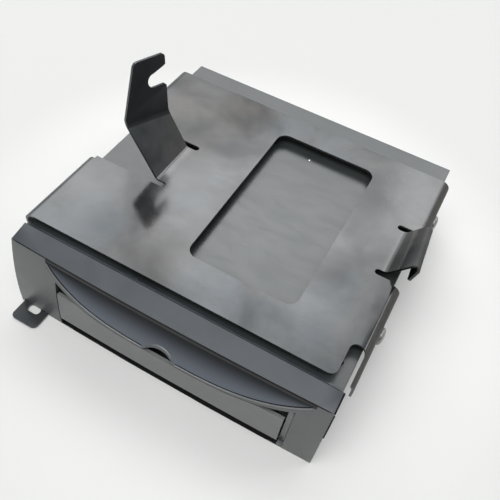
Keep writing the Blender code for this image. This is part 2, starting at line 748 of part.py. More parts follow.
def build_inner_front(mat):
    side_gap = SEAT_GAP
    low = FASCIA_WALL + SEAT_GAP
    high = fascia_height - FASCIA_WALL - PANEL_TOP_GAP
    panel = block("inner_front", (opening_left + side_gap, panel_front, low),
                  (opening_right - side_gap, panel_back, high), mat)
    post_low = HINGE_HEIGHT - HINGE_RADIUS
    post_high = opening_height(opening_right - POST_WIDTH) - SEAT_GAP - POST_RECESS
    x = opening_right
    curve = [(front_surface(x, z) + POST_RECESS, z) for z in spread(post_low, post_high, FLAP_ROWS)]
    outline = [(panel_front + PANEL_SHEET / 2, post_low)] + curve
    outline.append((panel_front + PANEL_SHEET / 2, post_high))
    join(panel, prism("right_post", [outline], "X", post_left, opening_right - side_gap))
    half_slot = disc_radius + SLOT_SIDE_MARGIN
    slot = prism("slot_cut", [rounded_box(disc_x - half_slot, disc_middle - SLOT_HEIGHT / 2,
                                          disc_x + half_slot, disc_middle + SLOT_HEIGHT / 2,
                                          SLOT_HEIGHT / 2 - SEAT_GAP)],
                 "Y", panel_front - OVERRUN, panel_back + OVERRUN)
    cut(panel, slot)
    for name, side in (("eject", -1), ("load", 1)):
        middle = button_centre(side)
        half_w = BUTTON_WIDTH / 2 + SEAT_GAP
        half_h = BUTTON_HEIGHT / 2 + SEAT_GAP
        cut(panel, block(name + "_window", (middle - half_w, panel_front - OVERRUN, button_level - half_h),
                         (middle + half_w, panel_back + OVERRUN, button_level + half_h)))
    cut(panel, rod("right_pin_bed", PIN_RADIUS + PIN_CLEARANCE,
                   (post_left - OVERRUN, hinge_y, HINGE_HEIGHT),
                   (post_left + PIN_BED + SEAT_GAP, hinge_y, HINGE_HEIGHT), sides=SMALL_SIDES))
    for i, share in enumerate(BOSS_SHARES):
        x = disc_x + share * button_board_half()
        start = panel_back - PANEL_SHEET / 2
        join(panel, rod("board_boss_" + str(i), BOARD_BOSS_RADIUS, (x, start, button_level),
                        (x, switch_front() + SWITCH_DEPTH - SEAT_GAP, button_level), sides=SMALL_SIDES))
    return panel


def build_dust_lips(mat):
    half = disc_radius + SLOT_SIDE_MARGIN + CHASSIS_SHEET
    front = panel_back + SEAT_GAP
    back = front + DUST_LIP_THICKNESS
    for name, low in (("upper_dust_lip", disc_middle + DUST_LIP_GAP / 2),
                      ("lower_dust_lip", disc_middle - DUST_LIP_GAP / 2 - DUST_LIP_HEIGHT)):
        block(name, (disc_x - half, front, low), (disc_x + half, back, low + DUST_LIP_HEIGHT), mat)


def build_button(name, side, mat):
    """A button cap with a stem behind it, its origin on the stem's axis."""
    middle = button_centre(side)
    cap_front = panel_front - BUTTON_STAND
    cap_back = cap_front + BUTTON_HEAD
    cap = block(name, (middle - BUTTON_WIDTH / 2, cap_front, button_level - BUTTON_HEIGHT / 2),
                (middle + BUTTON_WIDTH / 2, cap_back, button_level + BUTTON_HEIGHT / 2), mat)
    join(cap, rod(name + "_stem", BUTTON_STEM_RADIUS, (middle, cap_back - BUTTON_STAND / 2, button_level),
                  (middle, cap_back + BUTTON_STEM_LENGTH, button_level), sides=SMALL_SIDES))
    return cap


def switch_front():
    """The switches wait one travel and a seat gap behind the button stems."""
    stem_end = panel_front - BUTTON_STAND + BUTTON_HEAD + BUTTON_STEM_LENGTH
    return stem_end + BUTTON_TRAVEL + SEAT_GAP


def button_board_half():
    return button_spread + BUTTON_WIDTH


def build_button_board(mat):
    near = switch_front() + SWITCH_DEPTH
    half = button_board_half()
    board = block("button_board",
                  (disc_x - half, near, button_level - BUTTON_BOARD_HEIGHT / 2),
                  (disc_x + half, near + BOARD_SHEET, button_level + BUTTON_BOARD_HEIGHT / 2), mat)
    for side in (-1, 1):
        middle = button_centre(side)
        join(board, block("switch_" + str(side + 1),
                          (middle - SWITCH_BODY / 2, switch_front(), button_level - SWITCH_BODY / 2),
                          (middle + SWITCH_BODY / 2, near + BOARD_SHEET / 2,
                           button_level + SWITCH_BODY / 2)))
    return board


# Chassis

def tab_outline():
    """The foot tab: a tongue with round front corners, running back into the base."""
    left = tab_x - TAB_WIDTH / 2
    right = tab_x + TAB_WIDTH / 2
    tip = fascia_top_y - FASCIA_REACH - TAB_REACH
    root = front_y + CHASSIS_SHEET / 2
    return ([(right, root), (left, root)]
            + arc((left + TAB_CORNER, tip + TAB_CORNER), TAB_CORNER, 180, 270)
            + arc((right - TAB_CORNER, tip + TAB_CORNER), TAB_CORNER, 270, 360))


def build_base_pan(mat):
    pan = block("base_pan", (-chassis_half, front_y, 0), (chassis_half, back_y, pan_top), mat)
    sheet = CHASSIS_SHEET
    cut(pan, block("pan_hollow", (-chassis_half + sheet, front_y + sheet, sheet),
                   (chassis_half - sheet, back_y - sheet, pan_top + OVERRUN)))
    half_cut = disc_radius + SLOT_SIDE_MARGIN + WALL_CUT_MARGIN
    cut(pan, block("pan_front_cut", (disc_x - half_cut, front_y - OVERRUN, WALL_CUT_MARGIN),
                   (disc_x + half_cut, front_y + sheet + OVERRUN, WALL_CUT_TOP)))
    cut(pan, block("pan_socket_cut", (SOCKET_OFFSET - SOCKET_WIDTH / 2 - SEAT_GAP, back_y - sheet - OVERRUN,
                                      socket_low() - SEAT_GAP),
                   (SOCKET_OFFSET + SOCKET_WIDTH / 2 + SEAT_GAP, back_y + OVERRUN,
                    socket_low() + SOCKET_HEIGHT + SEAT_GAP)))
    for i in range(VENT_COUNT):
        middle = VENT_OFFSET + (i - (VENT_COUNT - 1) / 2) * VENT_PITCH
        cut(pan, block("vent_" + str(i), (middle - VENT_WIDTH / 2, back_y - sheet - OVERRUN,
                                          pan_top / 2),
                       (middle + VENT_WIDTH / 2, back_y + OVERRUN, pan_top / 2 + VENT_HEIGHT)))
    for side in (-1, 1):
        for place, y in (("front", screw_front_y), ("back", screw_back_y)):
            inner = side * (chassis_half - CHASSIS_SHEET - OVERRUN)
            outer = side * (chassis_half + OVERRUN)
            cut(pan, rod("pan_hole_%s_%d" % (place, side + 1), BOLT_RADIUS + BOLT_CLEARANCE,
                         (inner, y, screw_level), (outer, y, screw_level), sides=SMALL_SIDES))
    for i, (x, y) in enumerate(board_posts()):
        join(pan, rod("board_post_" + str(i), BOARD_POST_RADIUS, (x, y, sheet / 2),
                      (x, y, BOARD_LEVEL - SEAT_GAP), sides=SMALL_SIDES))
    tab_middle = tab_x
    tab_tip = fascia_top_y - FASCIA_REACH - TAB_REACH
    slot_front = tab_tip + TAB_REACH - TAB_SLOT_WIDTH
    tab = prism("foot_tab", [tab_outline(),
                             rounded_box(tab_middle - TAB_SLOT_LENGTH / 2, slot_front,
                                         tab_middle + TAB_SLOT_LENGTH / 2, slot_front + TAB_SLOT_WIDTH,
                                         TAB_SLOT_WIDTH / 2 - SEAT_GAP)],
                "Z", 0.0, CHASSIS_SHEET)
    join(pan, tab)
    return pan


def build_top_cover(mat):
    """The lid, with a lip inside each side wall and a screw hole near the front right."""
    low = pan_top + SEAT_GAP
    cover = block("top_cover", (-chassis_half, front_y, low), (chassis_half, back_y, CHASSIS_HEIGHT), mat)
    for side in (-1, 1):
        outer = chassis_half - CHASSIS_SHEET - SEAT_GAP
        xs = sorted((side * outer, side * (outer - CHASSIS_SHEET)))
        join(cover, block("lid_lip_" + str(side + 1),
                          (xs[0], front_y + CHASSIS_SHEET * 2, low - LID_LIP_DROP),
                          (xs[1], back_y - CHASSIS_SHEET * 2, low + CHASSIS_SHEET / 2)))
    x = chassis_half - LID_HOLE_INSET
    y = front_y + LID_HOLE_SETBACK
    cut(cover, rod("lid_hole", LID_HOLE_RADIUS, (x, y, low - OVERRUN), (x, y, CHASSIS_HEIGHT + OVERRUN),
                   sides=SMALL_SIDES))
    return cover


# Mounting plate with its ears

def ear_rails(line_x, outward, bend, front_y0, lean_deg, front_length, back_length, fold_deg,
              tip_front, tip_back, taper):
    """Front and back rails of an ear: up round the first bend, along the web, then round
    the slanting second bend to the tip. All points lie on the sheet's middle surface."""
    middle_z = plate_top - PLATE_SHEET / 2
    back_y0 = front_y0 + EAR_WIDTH
    rails = [[], []]
    for rail, y in zip(rails, (front_y0, back_y0)):
        rail.append(Vector((line_x - outward * FOLD_BEND, y, middle_z)))
        for i in range(ARC_STEPS + 1):
            angle = math.radians(lean_deg) * i / ARC_STEPS
            rail.append(Vector((line_x + outward * bend * math.sin(angle), y,
                                middle_z + bend * (1 - math.cos(angle)))))
    lean = math.radians(lean_deg)
    along = Vector((outward * math.cos(lean), 0, math.sin(lean)))
    front_fold = rails[0][-1] + along * front_length
    back_fold = rails[1][-1] + along * back_length
    axis = (back_fold - front_fold).normalized()
    steps = ARC_STEPS - 2
    angle = math.radians(fold_deg) * (1 if outward < 0 else -1)
    front_tip = front_fold + along * tip_front + Vector((0, taper, 0))
    back_tip = back_fold + along * tip_back
    lead = along * FOLD_BEND
    for rail, fold, tip in ((rails[0], front_fold, front_tip), (rails[1], back_fold, back_tip)):
        start = fold - lead
        rail.append(start)
        place = start
        chord = 2 * FOLD_BEND / steps
        for i in range(steps):
            turn = Matrix.Rotation(angle * (i + 0.5) / steps, 3, axis)
            place = place + turn @ (along * chord)
            rail.append(place)
        rest = tip - (fold + lead)
        rail.append(place + Matrix.Rotation(angle, 3, axis) @ rest)
    return rails


def ear_solid(name, rails):
    """The sheet between the two rails, thickened evenly about its middle surface."""
    count = len(rails[0])
    faces = [(i, i + 1, count + i + 1, count + i) for i in range(count - 1)]
    mesh = bpy.data.meshes.new(name)
    mesh.from_pydata(rails[0] + rails[1], [], faces)
    obj = add_object(name, mesh)
    wall = obj.modifiers.new("sheet", "SOLIDIFY")
    wall.thickness = PLATE_SHEET
    wall.offset = 0.0
    wall.use_even_offset = True
    return obj


def hook_cutter(name, rails, rise, towards_back):
    """A slot with a round end, square to the ear's last panel, open at one edge."""
    edge, other = (rails[1], rails[0]) if towards_back else (rails[0], rails[1])
    edge_low, edge_tip = edge[-2:]
    other_tip = other[-1]
    up = (edge_tip - edge_low).normalized()
    across = (edge_tip - other_tip).normalized()
    normal = up.cross(across).normalized()
    mouth = edge_low + up * rise
    inner = -HOOK_REACH + HOOK_ROUND
    outline = arc((inner, 0.0), HOOK_ROUND, 90, 270, ARC_STEPS * 2)
    outline.append((-HOOK_FLARE, -HOOK_ROUND))
    outline.append((0.0, -HOOK_ROUND - HOOK_FLARE))
    outline.append((OVERRUN, -HOOK_ROUND - HOOK_FLARE))
    outline.append((OVERRUN, HOOK_ROUND + HOOK_MOUTH_RISE + HOOK_FLARE))
    outline.append((0.0, HOOK_ROUND + HOOK_MOUTH_RISE + HOOK_FLARE / 2))
    outline.append((-HOOK_FLARE, HOOK_ROUND + HOOK_MOUTH_RISE))
    half = PLATE_SHEET + OVERRUN
    rings = [[mouth + across * u + up * v + normal * s for u, v in outline] for s in (-half, half)]
    return loft(name, rings)


def corner_cutters(name, rails):
    """Rounds the two tip corners of an ear's last panel."""
    tools = []
    for side, (low, tip), other in (("front", rails[0][-2:], rails[1][-1]),
                                    ("back", rails[1][-2:], rails[0][-1])):
        up = (tip - low).normalized()
        along = (tip - other).normalized()
        normal = up.cross(along).normalized()
        outline = [(-EAR_CORNER, OVERRUN)] + arc((-EAR_CORNER, -EAR_CORNER), EAR_CORNER, 90, 0)
        outline += [(OVERRUN, -EAR_CORNER), (OVERRUN, OVERRUN)]
        half = PLATE_SHEET + OVERRUN
        rings = [[tip + along * u + up * v + normal * s for u, v in outline] for s in (-half, half)]
        tools.append(loft(name + "_" + side + "_corner", rings))
    return tools


def ear_cut_outline(line_x, outward, slit_end, front_y0):
    """The plate's cut-out: the ear's place out to the side, with a round slit beside each bend."""
    low_y = front_y0 - EAR_SLIT
    high_y = front_y0 + EAR_WIDTH + EAR_SLIT
    outside = outward * (plate_half + OVERRUN)
    root = line_x - outward * RELIEF_ROUND / 2
    radius = EAR_SLIT / 2
    centre = slit_end + outward * radius
    ends = (-90, 90) if outward < 0 else (270, 90)
    points = [(outside, low_y)]
    points += arc((centre, low_y + radius), radius, *ends)
    points += [(root, front_y0), (root, front_y0 + EAR_WIDTH)]
    points += arc((centre, high_y - radius), radius, *ends)
    points.append((outside, high_y))
    return points


def plate_section():
    """The plate's cross-section: a shallow channel with round bends, as one closed outline."""
    outer_low = plate_top - FLANGE_DROP
    radius = PLATE_BEND
    inner_radius = PLATE_BEND - PLATE_SHEET
    centre_z = plate_top - radius
    centre_x = plate_half - radius
    outer = ([(plate_half, outer_low)] + arc((centre_x, centre_z), radius, 0, 90)
             + arc((-centre_x, centre_z), radius, 90, 180) + [(-plate_half, outer_low)])
    inner = ([(-plate_half + PLATE_SHEET, outer_low)]
             + arc((-centre_x, centre_z), inner_radius, 180, 90)
             + arc((centre_x, centre_z), inner_radius, 90, 0)
             + [(plate_half - PLATE_SHEET, outer_low)])
    return outer + inner


def corner_cut_outline():
    """The finger-shaped cut at the front right, with a round plate corner beside it."""
    right = plate_half - FLANGE_STRIP
    left = right - CORNER_CUT_WIDTH
    back = plate_front + CORNER_CUT_DEPTH
    radius = CORNER_CUT_ROUND
    ahead = plate_front - OVERRUN
    return ([(right, ahead)]
            + arc((right - radius, back - radius), radius, 0, 90)
            + arc((left + radius, back - radius), radius, 90, 180)
            + arc((left - radius, plate_front + radius), radius, 0, -90)
            + [(left - radius, ahead)])


def build_bracket_plate(mat):
    plate = prism("bracket_plate", [plate_section()], "Y", plate_front, plate_back, mat)
    above = plate_top + OVERRUN
    below = plate_top - FLANGE_DROP - OVERRUN
    lug_top = plate_top - PLATE_BEND - SEAT_GAP
    for side in (-1, 1):
        xs = sorted((side * plate_half, side * (plate_half - PLATE_SHEET)))
        for place, y in (("front", screw_front_y), ("back", screw_back_y)):
            tag = "%s_%d" % (place, side + 1)
            join(plate, block("lug_" + tag, (xs[0], y - LUG_WIDTH / 2, screw_level - LUG_WIDTH / 2),
                              (xs[1], y + LUG_WIDTH / 2, lug_top)))
            cut(plate, rod("lug_hole_" + tag, BOLT_RADIUS + BOLT_CLEARANCE,
                           (xs[0] - OVERRUN, y, screw_level), (xs[1] + OVERRUN, y, screw_level),
                           sides=SMALL_SIDES))
    window = rounded_box(-plate_half + WINDOW_LEFT_INSET, plate_front + WINDOW_FRONT_INSET,
                         plate_half - WINDOW_RIGHT_INSET, plate_back - WINDOW_BACK_INSET, WINDOW_CORNER)
    cut(plate, prism("window_cut", [window], "Z", plate_low - OVERRUN, above))
    cut(plate, prism("corner_cut", [corner_cut_outline()], "Z", plate_low - PLATE_BEND, above))
    ears = (
        ("left_ear", left_slit_end, left_ear_line, -1, LEFT_EAR_BEND, left_ear_front, LEFT_EAR_LEAN_DEG,
         LEFT_EAR_FRONT_LENGTH, LEFT_EAR_BACK_LENGTH, LEFT_EAR_FOLD_DEG, LEFT_EAR_TIP_FRONT,
         LEFT_EAR_TIP_BACK, LEFT_EAR_TAPER),
        ("right_ear", right_slit_end, right_ear_line, 1, RIGHT_EAR_BEND, right_ear_front,
         RIGHT_EAR_LEAN_DEG, RIGHT_EAR_FRONT_LENGTH, RIGHT_EAR_BACK_LENGTH, RIGHT_EAR_FOLD_DEG,
         RIGHT_EAR_TIP_FRONT, RIGHT_EAR_TIP_BACK, 0.0),
    )
    for name, slit_end, line_x, outward, bend, front_y0, *rest in ears:
        cut(plate, prism(name + "_cut", [ear_cut_outline(line_x, outward, slit_end, front_y0)], "Z",
                         below, above))
        flange_x = sorted((outward * (plate_half - PLATE_BEND), outward * (plate_half + OVERRUN)))
        cut(plate, block(name + "_flange_cut",
                         (flange_x[0], front_y0 - EAR_SLIT - FLANGE_EXTRA_CUT, below),
                         (flange_x[1], front_y0 + EAR_WIDTH + EAR_SLIT + FLANGE_EXTRA_CUT, above)))
    for name, slit_end, line_x, outward, bend, front_y0, *rest in ears:
        rails = ear_rails(line_x, outward, bend, front_y0, *rest)
        ear = ear_solid(name, rails)
        cut(ear, *corner_cutters(name, rails))
        if outward < 0:
            cut(ear, hook_cutter(name + "_hook", rails, HOOK_RISE, True))
        join(plate, ear)
    return plate


def build_bracket_fixings(screw_mat, rubber_mat):
    """Four pan-head screws through the lugs, each with a rubber spacer behind its lug."""
    for side in (-1, 1):
        for place, y in (("front", screw_front_y), ("back", screw_back_y)):
            hand = "left" if side < 0 else "right"
            seat = plate_half + SEAT_GAP
            end = chassis_half - seat - BOLT_INSIDE
            profile = [(HEAD_RADIUS * across, HEAD_HEIGHT * up) for across, up in HEAD_SHARES]
            profile += [(BOLT_RADIUS, 0.0), (BOLT_RADIUS, end), (0.0, end)]
            screw = turned("bracket_screw_%s_%s" % (place, hand), profile, (side * seat, y, screw_level),
                           screw_mat, SMALL_SIDES)
            screw.rotation_euler = (0, side * math.pi / 2, 0)
            inner = chassis_half + SEAT_GAP
            outer = plate_half - PLATE_SHEET - SEAT_GAP
            spacer = rod("bracket_spacer_%s_%s" % (place, hand), SPACER_RADIUS,
                         (side * inner, y, screw_level), (side * outer, y, screw_level), rubber_mat,
                         SMALL_SIDES)
            cut(spacer, rod("spacer_hole_%s_%s" % (place, hand), BOLT_RADIUS + BOLT_CLEARANCE,
                            (side * (inner - OVERRUN), y, screw_level),
                            (side * (outer + OVERRUN), y, screw_level), sides=SMALL_SIDES))


# Deck

def sled_y():
    return spindle_y + SLED_REST


def build_deck(mat):
    deck = block("deck_plate", (disc_x - deck_half, deck_front, deck_low),
                 (disc_x + deck_half, deck_back, deck_top), mat)
    above = deck_top + OVERRUN
    below = deck_low - OVERRUN
    cut(deck, rod("spindle_hole", DECK_HOLE_RADIUS, (disc_x, spindle_y, below), (disc_x, spindle_y, above)))
    left = disc_x - SLED_WIDTH / 2 - DECK_OPENING_EDGE
    right = disc_x + SLED_WIDTH / 2 + DECK_OPENING_EDGE
    front = screw_front()
    back = spindle_y + sled_outer + SLED_DEPTH / 2 + DECK_OPENING_EDGE / 2
    cut(deck, block("sled_opening", (left, front, below), (right, back, above)))
    reach = SLED_MOTOR_RADIUS + RUN_GAP
    middle = disc_x + SCREW_OFFSET
    cut(deck, block("sled_motor_opening", (middle - reach, screw_back() - RUN_GAP, below),
                    (middle + reach, deck_back + OVERRUN, above)))
    for i, (x, front_end) in enumerate(saddle_places()):
        saddle = block("rod_saddle_" + str(i), (x - SADDLE_WIDTH / 2, front_end, rod_level - ROD_RADIUS),
                       (x + SADDLE_WIDTH / 2, front_end + SADDLE_DEPTH, deck_low + DECK_SHEET / 2))
        join(deck, saddle)
    for i, x in enumerate((disc_x - ROD_SPREAD, disc_x + ROD_SPREAD, disc_x + SCREW_OFFSET)):
        radius = (SCREW_RADIUS if x > disc_x + ROD_SPREAD else ROD_RADIUS) + PIN_CLEARANCE
        cut(deck, rod("saddle_bore_" + str(i), radius, (x, spindle_y, rod_level), (x, deck_back, rod_level),
                      sides=SMALL_SIDES))
    return deck


def saddle_places():
    """Left edges in y of the blocks under the deck that carry the rods and the lead screw."""
    front_end = screw_front() - RUN_GAP - SADDLE_DEPTH
    back_end = spindle_y + sled_outer + SLED_DEPTH / 2 + DECK_OPENING_EDGE / 2 + RUN_GAP
    return [(disc_x - ROD_SPREAD, front_end), (disc_x + ROD_SPREAD, front_end),
            (disc_x + SCREW_OFFSET, front_end), (disc_x - ROD_SPREAD, back_end),
            (disc_x + ROD_SPREAD, back_end)]


def build_dampers(mat):
    """Rubber dampers with a drawn-in waist, between the base and the deck."""
    low = floor_top + SEAT_GAP
    height = deck_low - SEAT_GAP - low
    radii = (DAMPER_RADIUS, DAMPER_WAIST, DAMPER_WAIST, DAMPER_RADIUS)
    middle = [(radius, height * share) for radius, share in zip(radii, DAMPER_SHARES)]
    profile = [(0.0, height), (DAMPER_RADIUS, height)] + middle + [(DAMPER_RADIUS, 0.0), (0.0, 0.0)]
    for tag, y in (("front", deck_front + DAMPER_FRONT_INSET), ("back", deck_back - DAMPER_REAR_INSET)):
        for hand, side in (("left", -1), ("right", 1)):
            x = disc_x + side * (deck_half - DAMPER_SIDE_INSET)
            turned("damper_%s_%s" % (tag, hand), profile, (x, y, low), mat, SMALL_SIDES)


def build_spindle(motor_mat, table_mat):
    low = floor_top + RUN_GAP
    top = deck_low - SEAT_GAP
    motor = rod("spindle_motor", MOTOR_RADIUS, (disc_x, spindle_y, low), (disc_x, spindle_y, top), motor_mat)
    cut(motor, rod("motor_bore", SHAFT_RADIUS + SEAT_GAP, (disc_x, spindle_y, top - HUB_RADIUS),
                   (disc_x, spindle_y, top + OVERRUN), sides=SMALL_SIDES))
    shaft_low = top - HUB_RADIUS / 2
    disc_seat = disc_low
    table_low = disc_seat - TURNTABLE_SHEET
    profile = [(0.0, disc_middle + BOSS_RISE), (BOSS_RADIUS * BOSS_TOP_SHARE, disc_middle + BOSS_RISE),
               (BOSS_RADIUS, disc_seat), (TURNTABLE_RADIUS, disc_seat), (TURNTABLE_RADIUS, table_low),
               (HUB_RADIUS, table_low), (HUB_RADIUS, top + RUN_GAP), (SHAFT_RADIUS, top + RUN_GAP),
               (SHAFT_RADIUS, shaft_low), (0.0, shaft_low)]
    turned("turntable", [(r, z - table_low) for r, z in profile], (disc_x, spindle_y, table_low), table_mat)


def build_clamp(arm_mat, bracket_mat, pin_mat, puck_mat):
    nose_y = spindle_y - ARM_NOSE
    arm_low = arm_level
    arm_top = arm_level + ARM_SHEET
    arm = prism("clamp_arm", [rounded_box(disc_x - ARM_WIDTH / 2, nose_y, disc_x + ARM_WIDTH / 2,
                                          arm_hinge_y, ARM_BARREL_RADIUS)], "Z", arm_low, arm_top, arm_mat)
    barrel = rod("arm_barrel", ARM_BARREL_RADIUS, (disc_x - ARM_WIDTH / 2, arm_hinge_y, arm_hinge_z),
                 (disc_x + ARM_WIDTH / 2, arm_hinge_y, arm_hinge_z), sides=SMALL_SIDES)
    join(arm, barrel)
    window_front = spindle_y + PUCK_RADIUS + ARM_WINDOW_WIDTH
    window = rounded_box(disc_x - ARM_WINDOW_WIDTH / 2, window_front, disc_x + ARM_WINDOW_WIDTH / 2,
                         window_front + ARM_WINDOW_LENGTH, ARM_WINDOW_WIDTH / 4)
    cut(arm, prism("arm_window", [window], "Z", arm_low - OVERRUN, arm_top + OVERRUN))
    cut(arm, rod("arm_puck_hole", HUB_RADIUS + SEAT_GAP, (disc_x, spindle_y, arm_low - OVERRUN),
                 (disc_x, spindle_y, arm_top + OVERRUN), sides=SMALL_SIDES))
    cut(arm, rod("arm_bore", CLAMP_PIN_RADIUS + PIN_CLEARANCE,
                 (disc_x - ARM_WIDTH, arm_hinge_y, arm_hinge_z),
                 (disc_x + ARM_WIDTH, arm_hinge_y, arm_hinge_z), sides=SMALL_SIDES))
    cheek_inner = ARM_WIDTH / 2 + RUN_GAP
    cheek_outer = cheek_inner + CHEEK_SHEET
    low = deck_top + SEAT_GAP
    high = arm_hinge_z + CHEEK_TOP_MARGIN
    floor_high = low + CHEEK_SHEET
    outline = [(disc_x - cheek_outer, low), (disc_x + cheek_outer, low), (disc_x + cheek_outer, high),
               (disc_x + cheek_inner, high), (disc_x + cheek_inner, floor_high),
               (disc_x - cheek_inner, floor_high), (disc_x - cheek_inner, high), (disc_x - cheek_outer, high)]
    bracket = prism("clamp_bracket", [outline], "Y", arm_hinge_y - CHEEK_DEPTH / 2,
                    arm_hinge_y + CHEEK_DEPTH / 2, bracket_mat)
    cut(bracket, rod("cheek_bore", CLAMP_PIN_RADIUS + PIN_CLEARANCE,
                     (disc_x - ARM_WIDTH, arm_hinge_y, arm_hinge_z),
                     (disc_x + ARM_WIDTH, arm_hinge_y, arm_hinge_z), sides=SMALL_SIDES))
    rod("clamp_pin", CLAMP_PIN_RADIUS, (disc_x - cheek_outer, arm_hinge_y, arm_hinge_z),
        (disc_x + cheek_outer, arm_hinge_y, arm_hinge_z), pin_mat, SMALL_SIDES)
    puck_low = disc_middle + BOSS_RISE + PUCK_GAP
    puck_top = puck_low + PUCK_HEIGHT
    cap_low = arm_top + PUCK_GAP
    cap_top = cap_low + CHEEK_SHEET / 2
    cap_radius = HUB_RADIUS * PUCK_CAP_SHARE
    profile = [(0.0, cap_top), (cap_radius, cap_top), (cap_radius, cap_low), (HUB_RADIUS, cap_low),
               (HUB_RADIUS, puck_top), (PUCK_RADIUS, puck_top), (PUCK_RADIUS, puck_low), (0.0, puck_low)]
    turned("clamp_puck", [(r, z - puck_low) for r, z in profile], (disc_x, spindle_y, puck_low), puck_mat)


# Pickup

def screw_front():
    return spindle_y + SLED_INNER - SLED_DEPTH / 2 - RUN_GAP


def screw_back():
    return spindle_y + sled_outer + SLED_DEPTH / 2 + RUN_GAP * 2


def build_pickup(sled_mat, lens_mat, steel_mat, motor_mat):
    low = rod_level - DECK_OPENING_EDGE
    top = low + SLED_HEIGHT
    middle = sled_y()
    sled = block("pickup_sled", (disc_x - SLED_WIDTH / 2, middle - SLED_DEPTH / 2, low),
                 (disc_x + SLED_WIDTH / 2, middle + SLED_DEPTH / 2, top), sled_mat)
    arm_end = disc_x + SCREW_OFFSET + SCREW_RADIUS + DECK_OPENING_EDGE
    arm_top = deck_low - SEAT_GAP
    arm_start = disc_x + SLED_WIDTH / 2 - DECK_OPENING_EDGE
    join(sled, block("sled_arm", (arm_start, middle - SLED_ARM_DEPTH / 2, low),
                     (arm_end, middle + SLED_ARM_DEPTH / 2, arm_top)))
    screw_x = disc_x + SCREW_OFFSET
    cut(sled, rod("half_nut", SCREW_RADIUS + SEAT_GAP, (screw_x, middle - SLED_DEPTH, rod_level),
                  (screw_x, middle + SLED_DEPTH, rod_level), sides=SMALL_SIDES))
    for side in (-1, 1):
        x = disc_x + side * ROD_SPREAD
        cut(sled, rod("sled_bore_" + str(side + 1), ROD_RADIUS + SEAT_GAP,
                      (x, middle - SLED_DEPTH, rod_level), (x, middle + SLED_DEPTH, rod_level),
                      sides=SMALL_SIDES))
        hand = "left" if side < 0 else "right"
        rod("guide_rod_" + hand, ROD_RADIUS, (x, screw_front() - RUN_GAP - SADDLE_DEPTH, rod_level),
            (x, screw_back() + SADDLE_DEPTH, rod_level), steel_mat, SMALL_SIDES)
    rod("pickup_lens", LENS_RADIUS, (disc_x, middle, top + SEAT_GAP), (disc_x, middle, top + LENS_HEIGHT),
        lens_mat, SMALL_SIDES)
    x = disc_x + SCREW_OFFSET
    rod("lead_screw", SCREW_RADIUS, (x, screw_front() - RUN_GAP - SADDLE_DEPTH, rod_level),
        (x, screw_back() + SLED_MOTOR_RADIUS / 2, rod_level), steel_mat, SMALL_SIDES)
    motor = rod("sled_motor", SLED_MOTOR_RADIUS, (x, screw_back(), rod_level),
                (x, screw_back() + SLED_MOTOR_LENGTH, rod_level), motor_mat)
    cut(motor, rod("sled_motor_bore", SCREW_RADIUS + SEAT_GAP, (x, screw_back() - OVERRUN, rod_level),
                   (x, screw_back() + SLED_MOTOR_RADIUS / 2 + SEAT_GAP, rod_level), sides=SMALL_SIDES))


# Loading train

def gear_outline(teeth, first_angle, centre):
    """Straight-flanked teeth round a pitch circle; the first tooth points at first_angle."""
    pitch_radius = GEAR_MODULE * teeth / 2
    root = pitch_radius - GEAR_MODULE * DEDENDUM_SHARE
    tip = pitch_radius + GEAR_MODULE * ADDENDUM_SHARE
    pitch = 2 * math.pi / teeth
    points = []
    for i in range(teeth):
        for radius, share in ((root, -TOOTH_ROOT_SHARE), (tip, -TOOTH_TIP_SHARE),
                              (tip, TOOTH_TIP_SHARE), (root, TOOTH_ROOT_SHARE)):
            angle = first_angle + pitch * (i + share)
            points.append((centre[0] + radius * math.cos(angle), centre[1] + radius * math.sin(angle)))
    return points


def circle(centre, radius, sides=SMALL_SIDES):
    return arc(centre, radius, 0, 360 * (sides - 1) / sides, sides - 1)


def mesh_distance(teeth_a, teeth_b):
    return GEAR_MODULE * (teeth_a + teeth_b) / 2 + GEAR_MESH_GAP


def train_places():
    """Centres in (y, z) and first-tooth angles of the three meshed gears."""
    roller = Vector((roller_y, roller_z))
    first = mesh_distance(ROLLER_TEETH, IDLER_TEETH)
    idler = roller + Vector((math.sqrt(first ** 2 - IDLER_RISE ** 2), IDLER_RISE))
    second = mesh_distance(IDLER_TEETH, PINION_TEETH)
    pinion_z = floor_top + SEAT_GAP + LOADING_MOTOR_RADIUS
    drop = idler.y - pinion_z
    pinion = Vector((idler.x + math.sqrt(second ** 2 - drop ** 2), pinion_z))
    to_idler = math.atan2(idler.y - roller.y, idler.x - roller.x)
    to_pinion = math.atan2(pinion.y - idler.y, pinion.x - idler.x)
    idler_pitch = 2 * math.pi / IDLER_TEETH
    pinion_pitch = 2 * math.pi / PINION_TEETH
    idler_angle = to_idler + math.pi + idler_pitch / 2
    offset_share = ((to_pinion - idler_angle) / idler_pitch) % 1.0
    pinion_angle = to_pinion + math.pi + offset_share * pinion_pitch + pinion_pitch / 2
    return (roller, to_idler), (idler, idler_angle), (pinion, pinion_angle)


